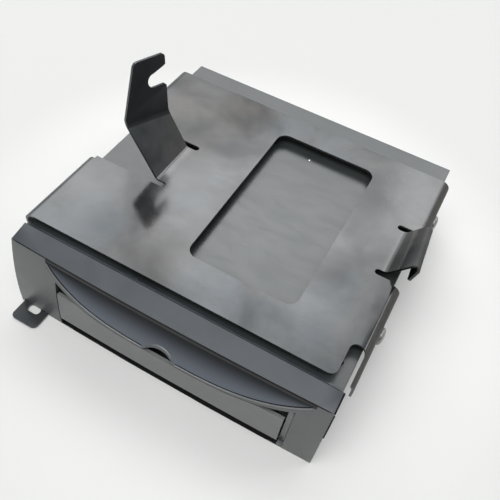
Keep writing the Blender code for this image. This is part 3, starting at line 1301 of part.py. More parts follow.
def build_train(gear_mat, steel_mat, motor_mat, rubber_mat):
    (roller, roller_angle), (idler, idler_angle), (pinion, pinion_angle) = train_places()
    shaft_left = disc_x - bracket_face - BRACKET_SHEET
    rod("roller_shaft", ROLLER_SHAFT_RADIUS, (shaft_left, roller.x, roller.y),
        (gear_right + RUN_GAP, roller.x, roller.y), steel_mat, SMALL_SIDES)
    bore = ROLLER_SHAFT_RADIUS + SEAT_GAP
    half = bracket_face - ROLLER_SIDE_GAP
    profile = [(bore, half), (ROLLER_RADIUS, half), (ROLLER_WAIST, 0.0), (ROLLER_RADIUS, -half),
               (bore, -half), (bore, half)]
    tube = turned("loading_roller", profile, (disc_x, roller.x, roller.y), rubber_mat, SMALL_SIDES)
    tube.rotation_euler = (0, math.pi / 2, 0)
    gears = (("roller_gear", ROLLER_TEETH, roller, roller_angle, bore),
             ("idler_gear", IDLER_TEETH, idler, idler_angle, IDLER_PIN_RADIUS + SEAT_GAP),
             ("motor_pinion", PINION_TEETH, pinion, pinion_angle, None))
    gear_x = (gear_left + gear_right) / 2
    for name, teeth, centre, angle, hole in gears:
        rings = [gear_outline(teeth, angle, (0.0, 0.0))]
        if hole:
            rings.append(circle((0.0, 0.0), hole))
        gear = prism(name, rings, "X", -GEAR_WIDTH / 2, GEAR_WIDTH / 2, gear_mat)
        gear.location = (gear_x, centre.x, centre.y)
    rod("idler_pin", IDLER_PIN_RADIUS, (disc_x + bracket_face, idler.x, idler.y),
        (gear_right + RUN_GAP, idler.x, idler.y), steel_mat, SMALL_SIDES)
    motor_left = gear_right + RUN_GAP
    motor = rod("loading_motor", LOADING_MOTOR_RADIUS, (motor_left, pinion.x, pinion.y),
                (chassis_half - CHASSIS_SHEET - MOTOR_WALL_GAP, pinion.x, pinion.y), motor_mat)
    cut(motor, rod("loading_motor_bore", SHAFT_RADIUS + SEAT_GAP, (gear_right, pinion.x, pinion.y),
                   (motor_left + HUB_RADIUS + SEAT_GAP, pinion.x, pinion.y), sides=SMALL_SIDES))
    join(gear, rod("pinion_shaft", SHAFT_RADIUS, (gear_x, pinion.x, pinion.y),
                   (motor_left + HUB_RADIUS, pinion.x, pinion.y), sides=SMALL_SIDES))
    build_roller_brackets(idler, steel_mat)


def build_roller_brackets(idler, mat):
    low = floor_top + SEAT_GAP
    high = guide_low - SEAT_GAP
    front = roller_y - BRACKET_HALF
    back = roller_y + BRACKET_HALF
    left_outline = [(front, low), (back, low), (back, high), (front, high)]
    guide_back = front - SEAT_GAP + GUIDE_DEPTH
    tall_front = guide_back + SEAT_GAP
    tall_back = idler.x + BRACKET_HALF
    tall_top = idler.y + BRACKET_HALF
    right_outline = [(front, low), (tall_back, low), (tall_back, tall_top), (tall_front, tall_top),
                     (tall_front, high), (front, high)]
    bore = ROLLER_SHAFT_RADIUS + SEAT_GAP
    left_x = disc_x - bracket_face - BRACKET_SHEET
    right_x = disc_x + bracket_face
    prism("roller_bracket_left", [left_outline, circle((roller_y, roller_z), bore)],
          "X", left_x, left_x + BRACKET_SHEET, mat)
    pin_bore = IDLER_PIN_RADIUS + SEAT_GAP
    prism("roller_bracket_right", [right_outline, circle((roller_y, roller_z), bore),
                                   circle((idler.x, idler.y), pin_bore)],
          "X", right_x, right_x + BRACKET_SHEET, mat)


def build_disc_guide(mat):
    """The guide above the disc: it touches the disc's rim only, so its middle is relieved."""
    front = roller_y - BRACKET_HALF
    back = front + GUIDE_DEPTH - SEAT_GAP
    half = bracket_face + BRACKET_SHEET
    guide = block("disc_guide", (disc_x - half, front, guide_low),
                  (disc_x + half, back, guide_low + GUIDE_SHEET), mat)
    inner = disc_radius - GUIDE_DEPTH
    outline = [(disc_x - inner, guide_low - OVERRUN), (disc_x + inner, guide_low - OVERRUN),
               (disc_x + inner, guide_low), (disc_x + inner / 2, guide_low + GUIDE_RELIEF),
               (disc_x - inner / 2, guide_low + GUIDE_RELIEF), (disc_x - inner, guide_low)]
    cut(guide, prism("guide_relief", [outline], "Y", front - OVERRUN, back + OVERRUN))
    return guide


# Electronics

def board_back():
    return back_y - CHASSIS_SHEET - RUN_GAP


def board_front():
    return board_back() - BOARD_DEPTH


def board_posts():
    inset = BOARD_POST_RADIUS + RUN_GAP * 2
    xs = (-board_half + inset, board_half - inset)
    ys = (board_front() + inset, board_back() - inset)
    return [(x, y) for x in xs for y in ys]


def socket_low():
    return BOARD_LEVEL + BOARD_SHEET + SEAT_GAP


def build_electronics(board_mat, socket_mat, chip_mat, metal_mat):
    block("main_board", (-board_half, board_front(), BOARD_LEVEL),
          (board_half, board_back(), BOARD_LEVEL + BOARD_SHEET), board_mat)
    low = socket_low()
    high = low + SOCKET_HEIGHT
    back = back_y + SOCKET_STAND
    front = back - SOCKET_DEPTH
    half = SOCKET_WIDTH / 2
    socket = block("rear_connector", (SOCKET_OFFSET - half, front, low), (SOCKET_OFFSET + half, back, high),
                   socket_mat)
    wall = SOCKET_WALL
    cut(socket, block("socket_hollow", (SOCKET_OFFSET - half + wall, front + wall * 2, low + wall),
                      (SOCKET_OFFSET + half - wall, back + OVERRUN, high - wall)))
    seat = BOARD_LEVEL + BOARD_SHEET + SEAT_GAP
    block("driver_chip", (CHIP_OFFSET - CHIP_SIZE / 2, board_front() + wall, seat),
          (CHIP_OFFSET + CHIP_SIZE / 2, board_front() + wall + CHIP_SIZE, seat + CHIP_HEIGHT), chip_mat)
    middle = (board_front() + board_back()) / 2
    rod("power_capacitor", CAPACITOR_RADIUS, (CAPACITOR_OFFSET, middle, seat),
        (CAPACITOR_OFFSET, middle, seat + CAPACITOR_HEIGHT), metal_mat, SMALL_SIDES)


# Assembly

def clear_scene():
    for obj in list(bpy.data.objects):
        bpy.data.objects.remove(obj)


def main():
    global parts, cutters
    clear_scene()
    parts = make_collection(OBJECT_NAME)
    cutters = make_collection("cutters")
    moulding = make_material("moulding", (0.13, 0.14, 0.145), 0.45, 0.0)
    dark_plastic = make_material("dark_plastic", (0.03, 0.03, 0.032), 0.5, 0.0)
    black_steel = make_material("black_steel", (0.09, 0.095, 0.10), 0.3, 0.6)
    zinc = make_material("zinc", (0.6, 0.6, 0.58), 0.35, 1.0)
    steel = make_material("steel", (0.7, 0.7, 0.7), 0.2, 1.0)
    rubber = make_material("rubber", (0.03, 0.03, 0.03), 0.8, 0.0)
    felt = make_material("felt", (0.02, 0.02, 0.02), 0.95, 0.0)
    gear_plastic = make_material("gear_plastic", (0.8, 0.78, 0.7), 0.4, 0.0)
    board_green = make_material("board_green", (0.03, 0.14, 0.06), 0.4, 0.0)
    lens_glass = make_material("lens_glass", (0.3, 0.35, 0.5), 0.05, 0.0)

    build_fascia(moulding)
    build_flap(moulding)
    build_hinge_pins(steel)
    build_flap_spring(steel)
    build_inner_front(moulding)
    build_dust_lips(felt)
    build_button("eject_button", -1, dark_plastic)
    build_button("load_button", 1, dark_plastic)
    build_button_board(board_green)
    build_base_pan(black_steel)
    build_top_cover(black_steel)
    build_bracket_plate(black_steel)
    build_bracket_fixings(zinc, rubber)
    build_deck(zinc)
    build_dampers(rubber)
    build_spindle(zinc, dark_plastic)
    build_clamp(zinc, zinc, steel, dark_plastic)
    build_pickup(dark_plastic, lens_glass, steel, zinc)
    build_train(gear_plastic, steel, zinc, rubber)
    build_disc_guide(dark_plastic)
    build_electronics(board_green, dark_plastic, dark_plastic, zinc)


main()
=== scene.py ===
import json
import math

import bmesh
import bpy
import numpy as np
from mathutils import Matrix, Vector


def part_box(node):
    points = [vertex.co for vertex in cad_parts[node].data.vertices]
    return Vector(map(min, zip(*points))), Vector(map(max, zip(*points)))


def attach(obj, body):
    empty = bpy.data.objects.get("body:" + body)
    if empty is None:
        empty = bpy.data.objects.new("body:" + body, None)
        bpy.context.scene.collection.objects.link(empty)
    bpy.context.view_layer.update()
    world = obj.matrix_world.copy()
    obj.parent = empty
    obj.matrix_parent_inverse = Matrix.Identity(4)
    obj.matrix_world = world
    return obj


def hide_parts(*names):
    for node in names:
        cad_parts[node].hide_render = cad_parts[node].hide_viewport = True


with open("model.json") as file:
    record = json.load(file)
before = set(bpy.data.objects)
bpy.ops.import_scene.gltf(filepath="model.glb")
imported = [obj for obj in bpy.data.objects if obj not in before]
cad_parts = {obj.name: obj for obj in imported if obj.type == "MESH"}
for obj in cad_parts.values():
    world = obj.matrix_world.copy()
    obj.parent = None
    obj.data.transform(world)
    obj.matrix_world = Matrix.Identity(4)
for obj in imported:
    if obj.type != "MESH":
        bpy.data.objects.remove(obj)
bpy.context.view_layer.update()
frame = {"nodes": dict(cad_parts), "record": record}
scene = bpy.context.scene
print("frame loaded:", len(frame["nodes"]), "nodes")


# The front's shape, which its finishes, skins and lines share

# The front's surface at the top's two corners, its lean, its bow, its half width and its top
frontShape = {"cornerY": -0.0958, "lean": 0.0062, "bow": 0.0015, "half": 0.09, "top": 0.0481}
# The lip's height is its low value plus its rise times a power of the distance from its low
# point, as a share of its half width; each side has its own power
lipLine = {"middle": 0.0065, "half": 0.0755, "low": 0.0236, "rise": 0.0224,
           "leftPower": 3.85, "rightPower": 2.8, "notchLeft": -0.0079, "notchRight": 0.0104,
           "endShare": 0.985, "points": 120, "sides": 12, "taper": 0.05,
           "radius": 0.00042, "sink": 0.0001,
           # The dark line on the scoop's side of the lip, which paints the shade there: its
           # radius, and how far it lies up from the lip and back from the front
           "seamRadius": 0.00024, "seamUp": 0.00052, "seamBack": 0.00034}
# The scoop's top, and how far the two handles of its wall's curve lie behind the front and
# above or below the curve's ends
scoopWall = {"top": 0.046, "lowBack": 0.0085, "lowUp": 0.011, "highBack": 0.0105,
             "highDown": 0.003, "samples": 400}


# The front leans back with the square of the height and bows forward as a parabola
def frontSurface(x, z):
    v = frontShape
    lean = v["lean"] * (1 - (z / v["top"]) ** 2)
    bow = v["bow"] * np.clip(1 - (x / v["half"]) ** 2, 0, 1)
    return v["cornerY"] - lean - bow


# The scoop's wall is a cubic curve from the lip back and up to the scoop's top, hung between
# the front's surface at the lip and at the top
def scoopSurface(x, z):
    v, lip = scoopWall, lipLine["low"]
    s = np.linspace(0, 1, v["samples"])
    handles = ((1 - s) ** 3, 3 * s * (1 - s) ** 2, 3 * s ** 2 * (1 - s), s ** 3)
    rise = [lip, lip + v["lowUp"], v["top"] - v["highDown"], v["top"]]
    back = [0, v["lowBack"], v["highBack"], 0]
    height = sum(h * p for h, p in zip(handles, rise))
    depth = sum(h * p for h, p in zip(handles, back))
    share = np.interp(z, height, handles[0] + handles[1])
    atLip = frontSurface(x, np.full_like(x, lip))
    atTop = frontSurface(x, np.full_like(x, v["top"]))
    return atLip * share + atTop * (1 - share) + np.interp(z, height, depth)


# Material building blocks

# The kinds of noise, each by its layers of finer waves, their strength and its swirl
noiseKinds = {
    "soft": {"Detail": 1.0, "Roughness": 0.55},
    "tint": {"Detail": 2.0, "Roughness": 0.5},
    "grain": {"Detail": 2.0, "Roughness": 0.55},
    "shake": {"Detail": 3.0, "Roughness": 0.5},
    "lines": {"Detail": 3.0, "Roughness": 0.55},
    "cloud": {"Detail": 4.0, "Roughness": 0.55, "Distortion": 0.35},
    "mottle": {"Detail": 5.0, "Roughness": 0.55},
    "smear": {"Detail": 5.0, "Roughness": 0.62, "Distortion": 0.5},
    "drift": {"Detail": 5.0, "Roughness": 0.6, "Distortion": 0.6},
}


# A new material, its node tree and its surface shader
def newMaterial(name):
    material = bpy.data.materials.new(name)
    material.use_nodes = True
    return material, material.node_tree, material.node_tree.nodes["Principled BSDF"]


# A socket takes another node's output or a plain value
def plug(tree, socket, value):
    if isinstance(value, bpy.types.NodeSocket):
        tree.links.new(value, socket)
    else:
        socket.default_value = value


# One shader node, with its settings and what goes into its sockets
def addNode(tree, kind, settings=None, inputs=None):
    node = tree.nodes.new(kind)
    for key, value in (settings or {}).items():
        setattr(node, key, value)
    for key, value in (inputs or {}).items():
        plug(tree, node.inputs[key], value)
    return node


# A sum of two values worked out in the shader
def mathNode(tree, operation, first, second, clamp=False):
    node = addNode(tree, "ShaderNodeMath", {"operation": operation, "use_clamp": clamp},
                   {0: first, 1: second})
    return node.outputs["Value"]


# Where a point lies on the piece's own coordinates
def objectPlace(tree):
    return addNode(tree, "ShaderNodeTexCoord").outputs["Object"]


# Noise on the piece's own coordinates; scale is in waves per metre
def objectNoise(tree, kind, scale, stretch=(1, 1, 1), output="Fac"):
    place = addNode(tree, "ShaderNodeMapping",
                    inputs={"Vector": objectPlace(tree), "Scale": stretch})
    noise = addNode(tree, "ShaderNodeTexNoise",
                    inputs={"Vector": place.outputs["Vector"], "Scale": scale,
                            **noiseKinds[kind]})
    return noise.outputs[output]


# A value carried smoothly from a span to two other values, so that no contour line shows
def mapRange(tree, value, span, atLow=0.0, atHigh=1.0):
    node = addNode(tree, "ShaderNodeMapRange",
                   {"clamp": True, "interpolation_type": "SMOOTHSTEP"},
                   {"Value": value, "From Min": span[0], "From Max": span[1],
                    "To Min": atLow, "To Max": atHigh})
    return node.outputs["Result"]


# Blend of two colours by a 0 to 1 factor; a colour is three numbers or another node's output
def mixColours(tree, factor, first, second):
    node = addNode(tree, "ShaderNodeMix", {"data_type": "RGBA"}, {"Factor": factor})
    for name, colour in (("A", first), ("B", second)):
        socket = next(s for s in node.inputs if s.name == name and s.type == "RGBA")
        plug(tree, socket, (*colour, 1.0) if isinstance(colour, tuple) else colour)
    return next(s for s in node.outputs if s.type == "RGBA")


# Dents that follow a height; they can lie on top of coarser ones
def addBump(tree, height, distance, strength=1.0, under=None):
    bump = addNode(tree, "ShaderNodeBump",
                   inputs={"Strength": strength, "Distance": distance, "Height": height})
    if under is not None:
        plug(tree, bump.inputs["Normal"], under)
    return bump.outputs["Normal"]


# Coats on steel sheet

# Spans say which part of a noise counts. The tints and the sheet's own waves are coarser than
# the clouds, by the share given.
blackCoat = {"dark": (0.006, 0.007, 0.008), "warm": (0.050, 0.043, 0.038),
             "cool": (0.034, 0.043, 0.050), "haze": (0.085, 0.094, 0.102),
             "cloud": 24.0, "cloudSpan": (0.30, 0.70), "coarser": 0.6, "tintSpan": (0.38, 0.62),
             "smear": 48.0, "smearSpan": (0.35, 0.68), "smearStretch": (1.0, 2.6, 1.0),
             "roughLow": 0.09, "roughHigh": 0.22, "specular": 1.0,
             "dull": 0.24, "dullSpan": (0.35, 0.65),
             "wave": 0.001, "grain": 620.0, "grainDepth": 0.000008, "grainStrength": 0.3}
lidCoat = {**blackCoat, "dark": (0.020, 0.024, 0.024), "warm": (0.036, 0.040, 0.038),
           "cool": (0.034, 0.040, 0.040), "cloud": 13.0, "roughLow": 0.26, "roughHigh": 0.36,
           "wave": 0.0004, "dull": 0.04}
# A darker, duller copy of the coat: painted shade on the ear's inner face
earShadeCoat = {**blackCoat, "dark": (0.004, 0.005, 0.006), "warm": (0.012, 0.012, 0.012),
           "cool": (0.010, 0.012, 0.014), "specular": 0.4, "roughLow": 0.3, "roughHigh": 0.4}
flangeCoat = {**blackCoat, "dark": (0.028, 0.027, 0.025), "warm": (0.068, 0.062, 0.054),
              "cool": (0.058, 0.056, 0.052), "specular": 0.25, "roughLow": 0.42,
              "roughHigh": 0.6, "dull": 0.0}
footCoat = {**blackCoat, "dark": (0.010, 0.011, 0.012), "specular": 0.5, "roughLow": 0.2,
            "roughHigh": 0.32, "dull": 0.05}
# A paler coat for edges: rubbed wear, and a painted highlight along them
wearAndHighlightCoat = {**blackCoat, "dark": (0.06, 0.062, 0.065), "warm": (0.11, 0.108, 0.105),
              "cool": (0.10, 0.105, 0.112), "cloud": 260.0, "roughLow": 0.28, "roughHigh": 0.42}
# Stains on the bracket's plate, each a place across and along it, a reach and a strength:
# oily ones dull the coat, dusty ones cover it with a pale haze. They are partly stains and
# partly
# painted sheen: the dusty ones paint light patches of sheen, the oily ones dark patches in the
# reflection
oilAndDarkReflectionStains = [(0.029, -0.072, 0.036, 0.36), (0.070, -0.034, 0.026, 0.25),
              (-0.033, 0.050, 0.030, 0.35), (0.066, -0.076, 0.026, 0.25),
              (-0.052, -0.066, 0.026, 0.3)]
dustAndSheenStains = [(-0.032, -0.030, 0.030, 0.6), (-0.080, -0.046, 0.030, 0.5),
               (0.073, 0.046, 0.034, 0.5), (0.074, 0.012, 0.026, 0.4)]
stainShape = {"plateTop": 0.0532, "shake": 0.016, "waves": 45.0}


# Soft-edged spots: each is strongest at its place and fades to nothing at its reach; the
# coordinates are shaken by noise so that the edges wander
def spotMask(tree, spots):
    v = stainShape
    shaken = addNode(tree, "ShaderNodeVectorMath", {"operation": "MULTIPLY_ADD"},
                     {0: objectNoise(tree, "shake", v["waves"], output="Color"),
                      1: (v["shake"], v["shake"], 0), 2: objectPlace(tree)})
    total = None
    for x, y, reach, strength in spots:
        middle = (x + v["shake"] / 2, y + v["shake"] / 2, v["plateTop"])
        far = addNode(tree, "ShaderNodeVectorMath", {"operation": "DISTANCE"},
                      {0: shaken.outputs["Vector"], 1: middle})
        spot = mapRange(tree, far.outputs["Value"], (0.0, reach), strength, 0.0)
        total = spot if total is None else mathNode(tree, "ADD", total, spot, clamp=True)
    return total


# A thin black coat on steel sheet: cloudy stains of two tints, and smears in its gloss; spots,
# where given, add stains that also paint patches of sheen and of dark reflection
def coatedSteel(name, v, oilAndDarkReflection=(), dustAndSheen=()):
    material, tree, shader = newMaterial(name)
    cloud = objectNoise(tree, "cloud", v["cloud"])
    tint = objectNoise(tree, "tint", v["cloud"] * v["coarser"])
    smear = objectNoise(tree, "smear", v["smear"], v["smearStretch"])
    stain = mixColours(tree, mapRange(tree, tint, v["tintSpan"]), v["warm"], v["cool"])
    colour = mixColours(tree, mapRange(tree, cloud, v["cloudSpan"]), v["dark"], stain)
    if dustAndSheen:
        colour = mixColours(tree, spotMask(tree, dustAndSheen), colour, v["haze"])
    dull = mapRange(tree, cloud, v["dullSpan"], v["dull"], 0.0)
    if oilAndDarkReflection:
        dull = mathNode(tree, "ADD", dull, spotMask(tree, oilAndDarkReflection), clamp=True)
    middle = (v["roughLow"] + v["roughHigh"]) / 2
    clouded = mapRange(tree, cloud, v["cloudSpan"], v["roughLow"], middle)
    smeared = mapRange(tree, smear, v["smearSpan"], 0.0, v["roughHigh"] - middle)
    sheet = objectNoise(tree, "soft", v["cloud"] * v["coarser"])
    grain = objectNoise(tree, "soft", v["grain"])
    dents = addBump(tree, grain, v["grainDepth"], v["grainStrength"],
                    under=addBump(tree, sheet, v["wave"]))
    plug(tree, shader.inputs["Base Color"], colour)
    plug(tree, shader.inputs["Metallic"], dull)
    plug(tree, shader.inputs["Roughness"], mathNode(tree, "ADD", clouded, smeared))
    plug(tree, shader.inputs["Specular IOR Level"], v["specular"])
    plug(tree, shader.inputs["Normal"], dents)
    return material


# Moulded skins

moulded = {"dark": (0.037, 0.042, 0.044), "light": (0.052, 0.058, 0.060),
           "drift": 40.0, "colourSpan": (0.32, 0.68), "roughSpan": (0.34, 0.66),
           "roughLow": 0.38, "roughHigh": 0.48, "specular": 1.0, "ior": 1.62,
           "grain": 900.0, "grainDepth": 0.000014, "grainStrength": 0.35}
wearAndHighlightMoulding = {**moulded, "dark": (0.06, 0.066, 0.072), "light": (0.10, 0.106, 0.112),
                  "drift": 300.0}
# A near-black skin for the brow: painted shade under the top's front edge
browShadeSkin = {**moulded, "dark": (0.005, 0.006, 0.007), "light": (0.008, 0.009, 0.010),
            "specular": 0.34, "ior": 1.5}
# A darker, bluer copy of the moulding for the flat top: painted shade
topShadeSkin = {**moulded, "dark": (0.011, 0.016, 0.022), "light": (0.016, 0.022, 0.030),
           "specular": 0.62}
# The scoop is matt and bluer, and its colour goes from light to dark with the height, over a
# span of shares of the way up from the lip to the scoop's top: painted shade under the top's
# overhang, painted light on the wall above the lip
scoopShadeSkin = {**moulded, "dark": (0.002, 0.0025, 0.004), "light": (0.125, 0.140, 0.165),
             "heightSpan": (-0.05, 0.66), "leastRoom": 0.001, "roughLow": 0.46,
             "roughHigh": 0.56, "specular": 0.32, "ior": 1.5, "grainStrength": 0.3}
flapSkin = {**moulded, "dark": (0.098, 0.100, 0.100), "light": (0.130, 0.132, 0.132)}
# A paler copy of the moulding for the inner front: painted light that lifts its post out of the
# recess's shade
panelPaintedLightSkin = {**moulded, "dark": (0.108, 0.111, 0.115), "light": (0.14, 0.143, 0.147)}
# A paler copy of the moulding for the lip's bead: a painted highlight along the lip
beadHighlightSkin = {**moulded, "dark": (0.12, 0.124, 0.128), "light": (0.18, 0.184, 0.188)}
blackPlastic = {**moulded, "dark": (0.010, 0.010, 0.011), "light": (0.018, 0.018, 0.020),
                "roughLow": 0.4, "roughHigh": 0.55, "specular": 0.45, "ior": 1.5,
                "grainDepth": 0.00002}
# A near-black matt skin that paints shade: on the sill under the flap and on the fascia's dark
# lines
paintedShadeSkin = {**blackPlastic, "dark": (0.002, 0.002, 0.0025), "light": (0.004, 0.004, 0.005),
             "roughLow": 0.7, "roughHigh": 0.9, "specular": 0.2}
rubber = {**blackPlastic, "roughLow": 0.7, "roughHigh": 0.9}
felt = {**blackPlastic, "roughLow": 0.9, "roughHigh": 1.0, "grainDepth": 0.0002}
gearPlastic = {**moulded, "dark": (0.62, 0.60, 0.52), "light": (0.72, 0.70, 0.62)}
boardGreen = {**moulded, "dark": (0.012, 0.075, 0.03), "light": (0.02, 0.11, 0.045),
              "roughLow": 0.25, "roughHigh": 0.4}
lensGlass = {**moulded, "dark": (0.05, 0.06, 0.14), "light": (0.07, 0.08, 0.2),
             "roughLow": 0.04, "roughHigh": 0.1}


# The height above the lip, as a share of the room between the lip and the scoop's top
def scoopShare(tree, leastRoom):
    v = lipLine
    place = addNode(tree, "ShaderNodeSeparateXYZ", inputs={"Vector": objectPlace(tree)})
    across = mathNode(tree, "SUBTRACT", place.outputs["X"], v["middle"])
    across = mathNode(tree, "DIVIDE", across, v["half"])
    leftward = mathNode(tree, "MAXIMUM", mathNode(tree, "MULTIPLY", across, -1.0), 0.0)
    rightward = mathNode(tree, "MAXIMUM", across, 0.0)
    bend = mathNode(tree, "ADD", mathNode(tree, "POWER", leftward, v["leftPower"]),
                    mathNode(tree, "POWER", rightward, v["rightPower"]))
    lip = mathNode(tree, "ADD", mathNode(tree, "MULTIPLY", bend, v["rise"]), v["low"])
    above = mathNode(tree, "SUBTRACT", place.outputs["Z"], lip)
    room = mathNode(tree, "SUBTRACT", scoopWall["top"], lip)
    return mathNode(tree, "DIVIDE", above, mathNode(tree, "MAXIMUM", room, leastRoom))


# A moulded or painted skin: its colour and gloss drift slowly, and fine grain dents it; where
# a height span is given, its colour follows the height in the scoop instead, as painted shade
def mouldedSkin(name, v):
    material, tree, shader = newMaterial(name)
    drift = objectNoise(tree, "drift", v["drift"])
    if "heightSpan" in v:
        share = mapRange(tree, scoopShare(tree, v["leastRoom"]), v["heightSpan"], 1.0, 0.0)
    else:
        share = mapRange(tree, drift, v["colourSpan"])
    rough = mapRange(tree, drift, v["roughSpan"], v["roughLow"], v["roughHigh"])
    grain = objectNoise(tree, "grain", v["grain"])
    plug(tree, shader.inputs["Base Color"], mixColours(tree, share, v["dark"], v["light"]))
    plug(tree, shader.inputs["Roughness"], rough)
    plug(tree, shader.inputs["Specular IOR Level"], v["specular"])
    plug(tree, shader.inputs["IOR"], v["ior"])
    plug(tree, shader.inputs["Normal"],
         addBump(tree, grain, v["grainDepth"], v["grainStrength"]))
    return material


# Bare and plated metal

zinc = {"colour": (0.56, 0.56, 0.54), "darker": 0.78, "lines": 900.0, "stretch": (1, 1, 1),
        "span": (0.3, 0.7), "roughLow": 0.28, "roughHigh": 0.46, "depth": 0.00002,
        "strength": 0.3}
steel = {**zinc, "colour": (0.66, 0.66, 0.66), "stretch": (0.15, 1, 1), "roughLow": 0.16,
         "roughHigh": 0.32}
screwZinc = {**zinc, "colour": (0.34, 0.34, 0.33), "roughLow": 0.38, "roughHigh": 0.52}
pinSteel = {**zinc, "colour": (0.07, 0.07, 0.075), "roughLow": 0.35, "roughHigh": 0.5}


# Faint drawn lines darken the metal, take off some of its shine and dent it
def drawnMetal(name, v):
    material, tree, shader = newMaterial(name)
    lines = objectNoise(tree, "lines", v["lines"], v["stretch"])
    darker = tuple(part * v["darker"] for part in v["colour"])
    colour = mixColours(tree, mapRange(tree, lines, v["span"]), darker, v["colour"])
    rough = mapRange(tree, lines, v["span"], v["roughLow"], v["roughHigh"])
    plug(tree, shader.inputs["Base Color"], colour)
    plug(tree, shader.inputs["Roughness"], rough)
    plug(tree, shader.inputs["Metallic"], 1.0)
    plug(tree, shader.inputs["Normal"], addBump(tree, lines, v["depth"], v["strength"]))
    return material


finishes = {
    "black_steel": coatedSteel("blackCoatFinish", blackCoat),
    "moulding": mouldedSkin("mouldedFinish", moulded),
    "dark_plastic": mouldedSkin("blackPlasticFinish", blackPlastic),
    "rubber": mouldedSkin("rubberFinish", rubber),
    "felt": mouldedSkin("feltFinish", felt),
    "gear_plastic": mouldedSkin("gearFinish", gearPlastic),
    "board_green": mouldedSkin("boardFinish", boardGreen),
    "lens_glass": mouldedSkin("lensFinish", lensGlass),
    "zinc": drawnMetal("zincFinish", zinc),
    "steel": drawnMetal("steelFinish", steel),
}
# Edges are rubbed paler than the faces they part, and the paler edges also paint highlights
# along them
edgeWearAndHighlightFinishes = {
    "black_steel": coatedSteel("rubbedCoatFinish", wearAndHighlightCoat),
    "moulding": mouldedSkin("rubbedMouldingFinish", wearAndHighlightMoulding),
}
# Nodes whose finish differs from the rest of their slot
nodeFinishes = {
    "flap_door": mouldedSkin("flapFinish", flapSkin),
    "inner_front": mouldedSkin("panelFinish", panelPaintedLightSkin),
    "top_cover": coatedSteel("lidFinish", lidCoat),
    "bracket_plate": coatedSteel("plateFinish", blackCoat, oilAndDarkReflectionStains, dustAndSheenStains),
    "hinge_pin_left": drawnMetal("pinFinish", pinSteel),
}
nodeFinishes["hinge_pin_right"] = nodeFinishes["hinge_pin_left"]
seamFinish = mouldedSkin("seamFinish", paintedShadeSkin)
print("finishes made:", len(finishes) + len(edgeWearAndHighlightFinishes) + len(nodeFinishes))


# CAD nodes: refined copies where they show, finishes on the rest

# Painted shade: the dark strip between the scoop and the flat top, under the top's edge; the
# faces are cut where it ends
brow = {"x": (-0.0682, 0.082), "z": (0.0455, 0.0483)}
# Cutting planes of a node, each a point and a direction
skinCuts = {"fascia": [((0, 0, brow["z"][0]), (0, 0, 1)), ((brow["x"][0], 0, 0), (1, 0, 0)),
                       ((brow["x"][1], 0, 0), (1, 0, 0))]}
# Skins of some faces of a node, laid on in this order. Each has the box where the middles of
# its faces lie, open where a side isn't given; the way that their normals lean, and by how
# much at least; and the depths behind the front's surface between which they lie.
openLow, openHigh = -1.0, 1.0
skins = {
    "fascia": [
        # The sill under the flap, given a near-black finish as painted shade under the flap
        {"finish": seamFinish, "x": (-0.0625, 0.0745), "z": (openLow, 0.0012)},
        # The scoop's wall, whose colour paints its shade
        {"finish": mouldedSkin("scoopFinish", scoopShadeSkin), "x": (-0.0725, 0.085),
         "y": (openLow, -0.088), "z": (0.0236, 0.0478), "way": (0, -1, 0), "lean": 0.02,
         "behind": (0.00013, 0.012)},
        {"finish": mouldedSkin("browFinish", browShadeSkin), **brow, "way": (0, -1, 0), "lean": 0.5},
        # The flat top, in a darker copy of the moulding as painted shade
        {"finish": mouldedSkin("topFinish", topShadeSkin), "z": (0.0479, openHigh),
         "way": (0, 0, 1), "lean": 0.9},
    ],
    "bracket_plate": [
        # Painted shade: the inner face of the tall ear's upright half, turned from the light,
        # gets a darker, duller copy of the coat
        {"finish": coatedSteel("earFinish", earShadeCoat), "z": (0.077, openHigh),
         "way": (1, 0, 0), "lean": 0.8},
        # The bend and the outer face of the plate's right side, which hardly shine
        {"finish": coatedSteel("flangeFinish", flangeCoat), "x": (0.085, openHigh),
         "z": (openLow, 0.0536), "way": (1, 0, 0), "lean": 0.25},
    ],
    "base_pan": [
        # The foot's upper face
        {"finish": coatedSteel("footFinish", footCoat), "y": (openLow, -0.085),
         "z": (openLow, 0.01), "way": (0, 0, 1), "lean": 0.9},
    ],
}
# Nodes that show, which get a refined copy; angles are in degrees
shown = ["fascia", "flap_door", "inner_front", "base_pan", "top_cover", "bracket_plate",
         "eject_button", "load_button", "upper_dust_lip", "lower_dust_lip", "rear_connector"]
refining = {"merge": 0.000002, "flatAngle": 0.6, "edgeAngle": 38, "creaseAngle": 42,
            "round": 0.0002, "plateRound": 0.00035, "segments": 2}


# A vector of every face, one to a row
def faceVectors(mesh, kind):
    values = np.empty(len(mesh.polygons) * 3, dtype=np.float32)
    mesh.polygons.foreach_get(kind, values)
    return values.reshape(-1, 3).astype(float)


# A face is covered when its middle and its normal pass each of the skin's tests
def coveredFaces(mesh, skin):
    middles, normals = faceVectors(mesh, "center"), faceVectors(mesh, "normal")
    covered = np.full(len(middles), True)
    for axis, name in enumerate("xyz"):
        low, high = skin.get(name, (openLow, openHigh))
        covered &= (middles[:, axis] > low) & (middles[:, axis] < high)
    if "way" in skin:
        covered &= normals @ np.array(skin["way"]) > skin["lean"]
    if "behind" in skin:
        depth = middles[:, 1] - frontSurface(middles[:, 0], middles[:, 2])
        covered &= (depth > skin["behind"][0]) & (depth < skin["behind"][1])
    return covered


# The record's finish of a node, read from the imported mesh
def slotOf(node):
    return frame["nodes"][node].material_slots[0].material.name.split(".")[0]


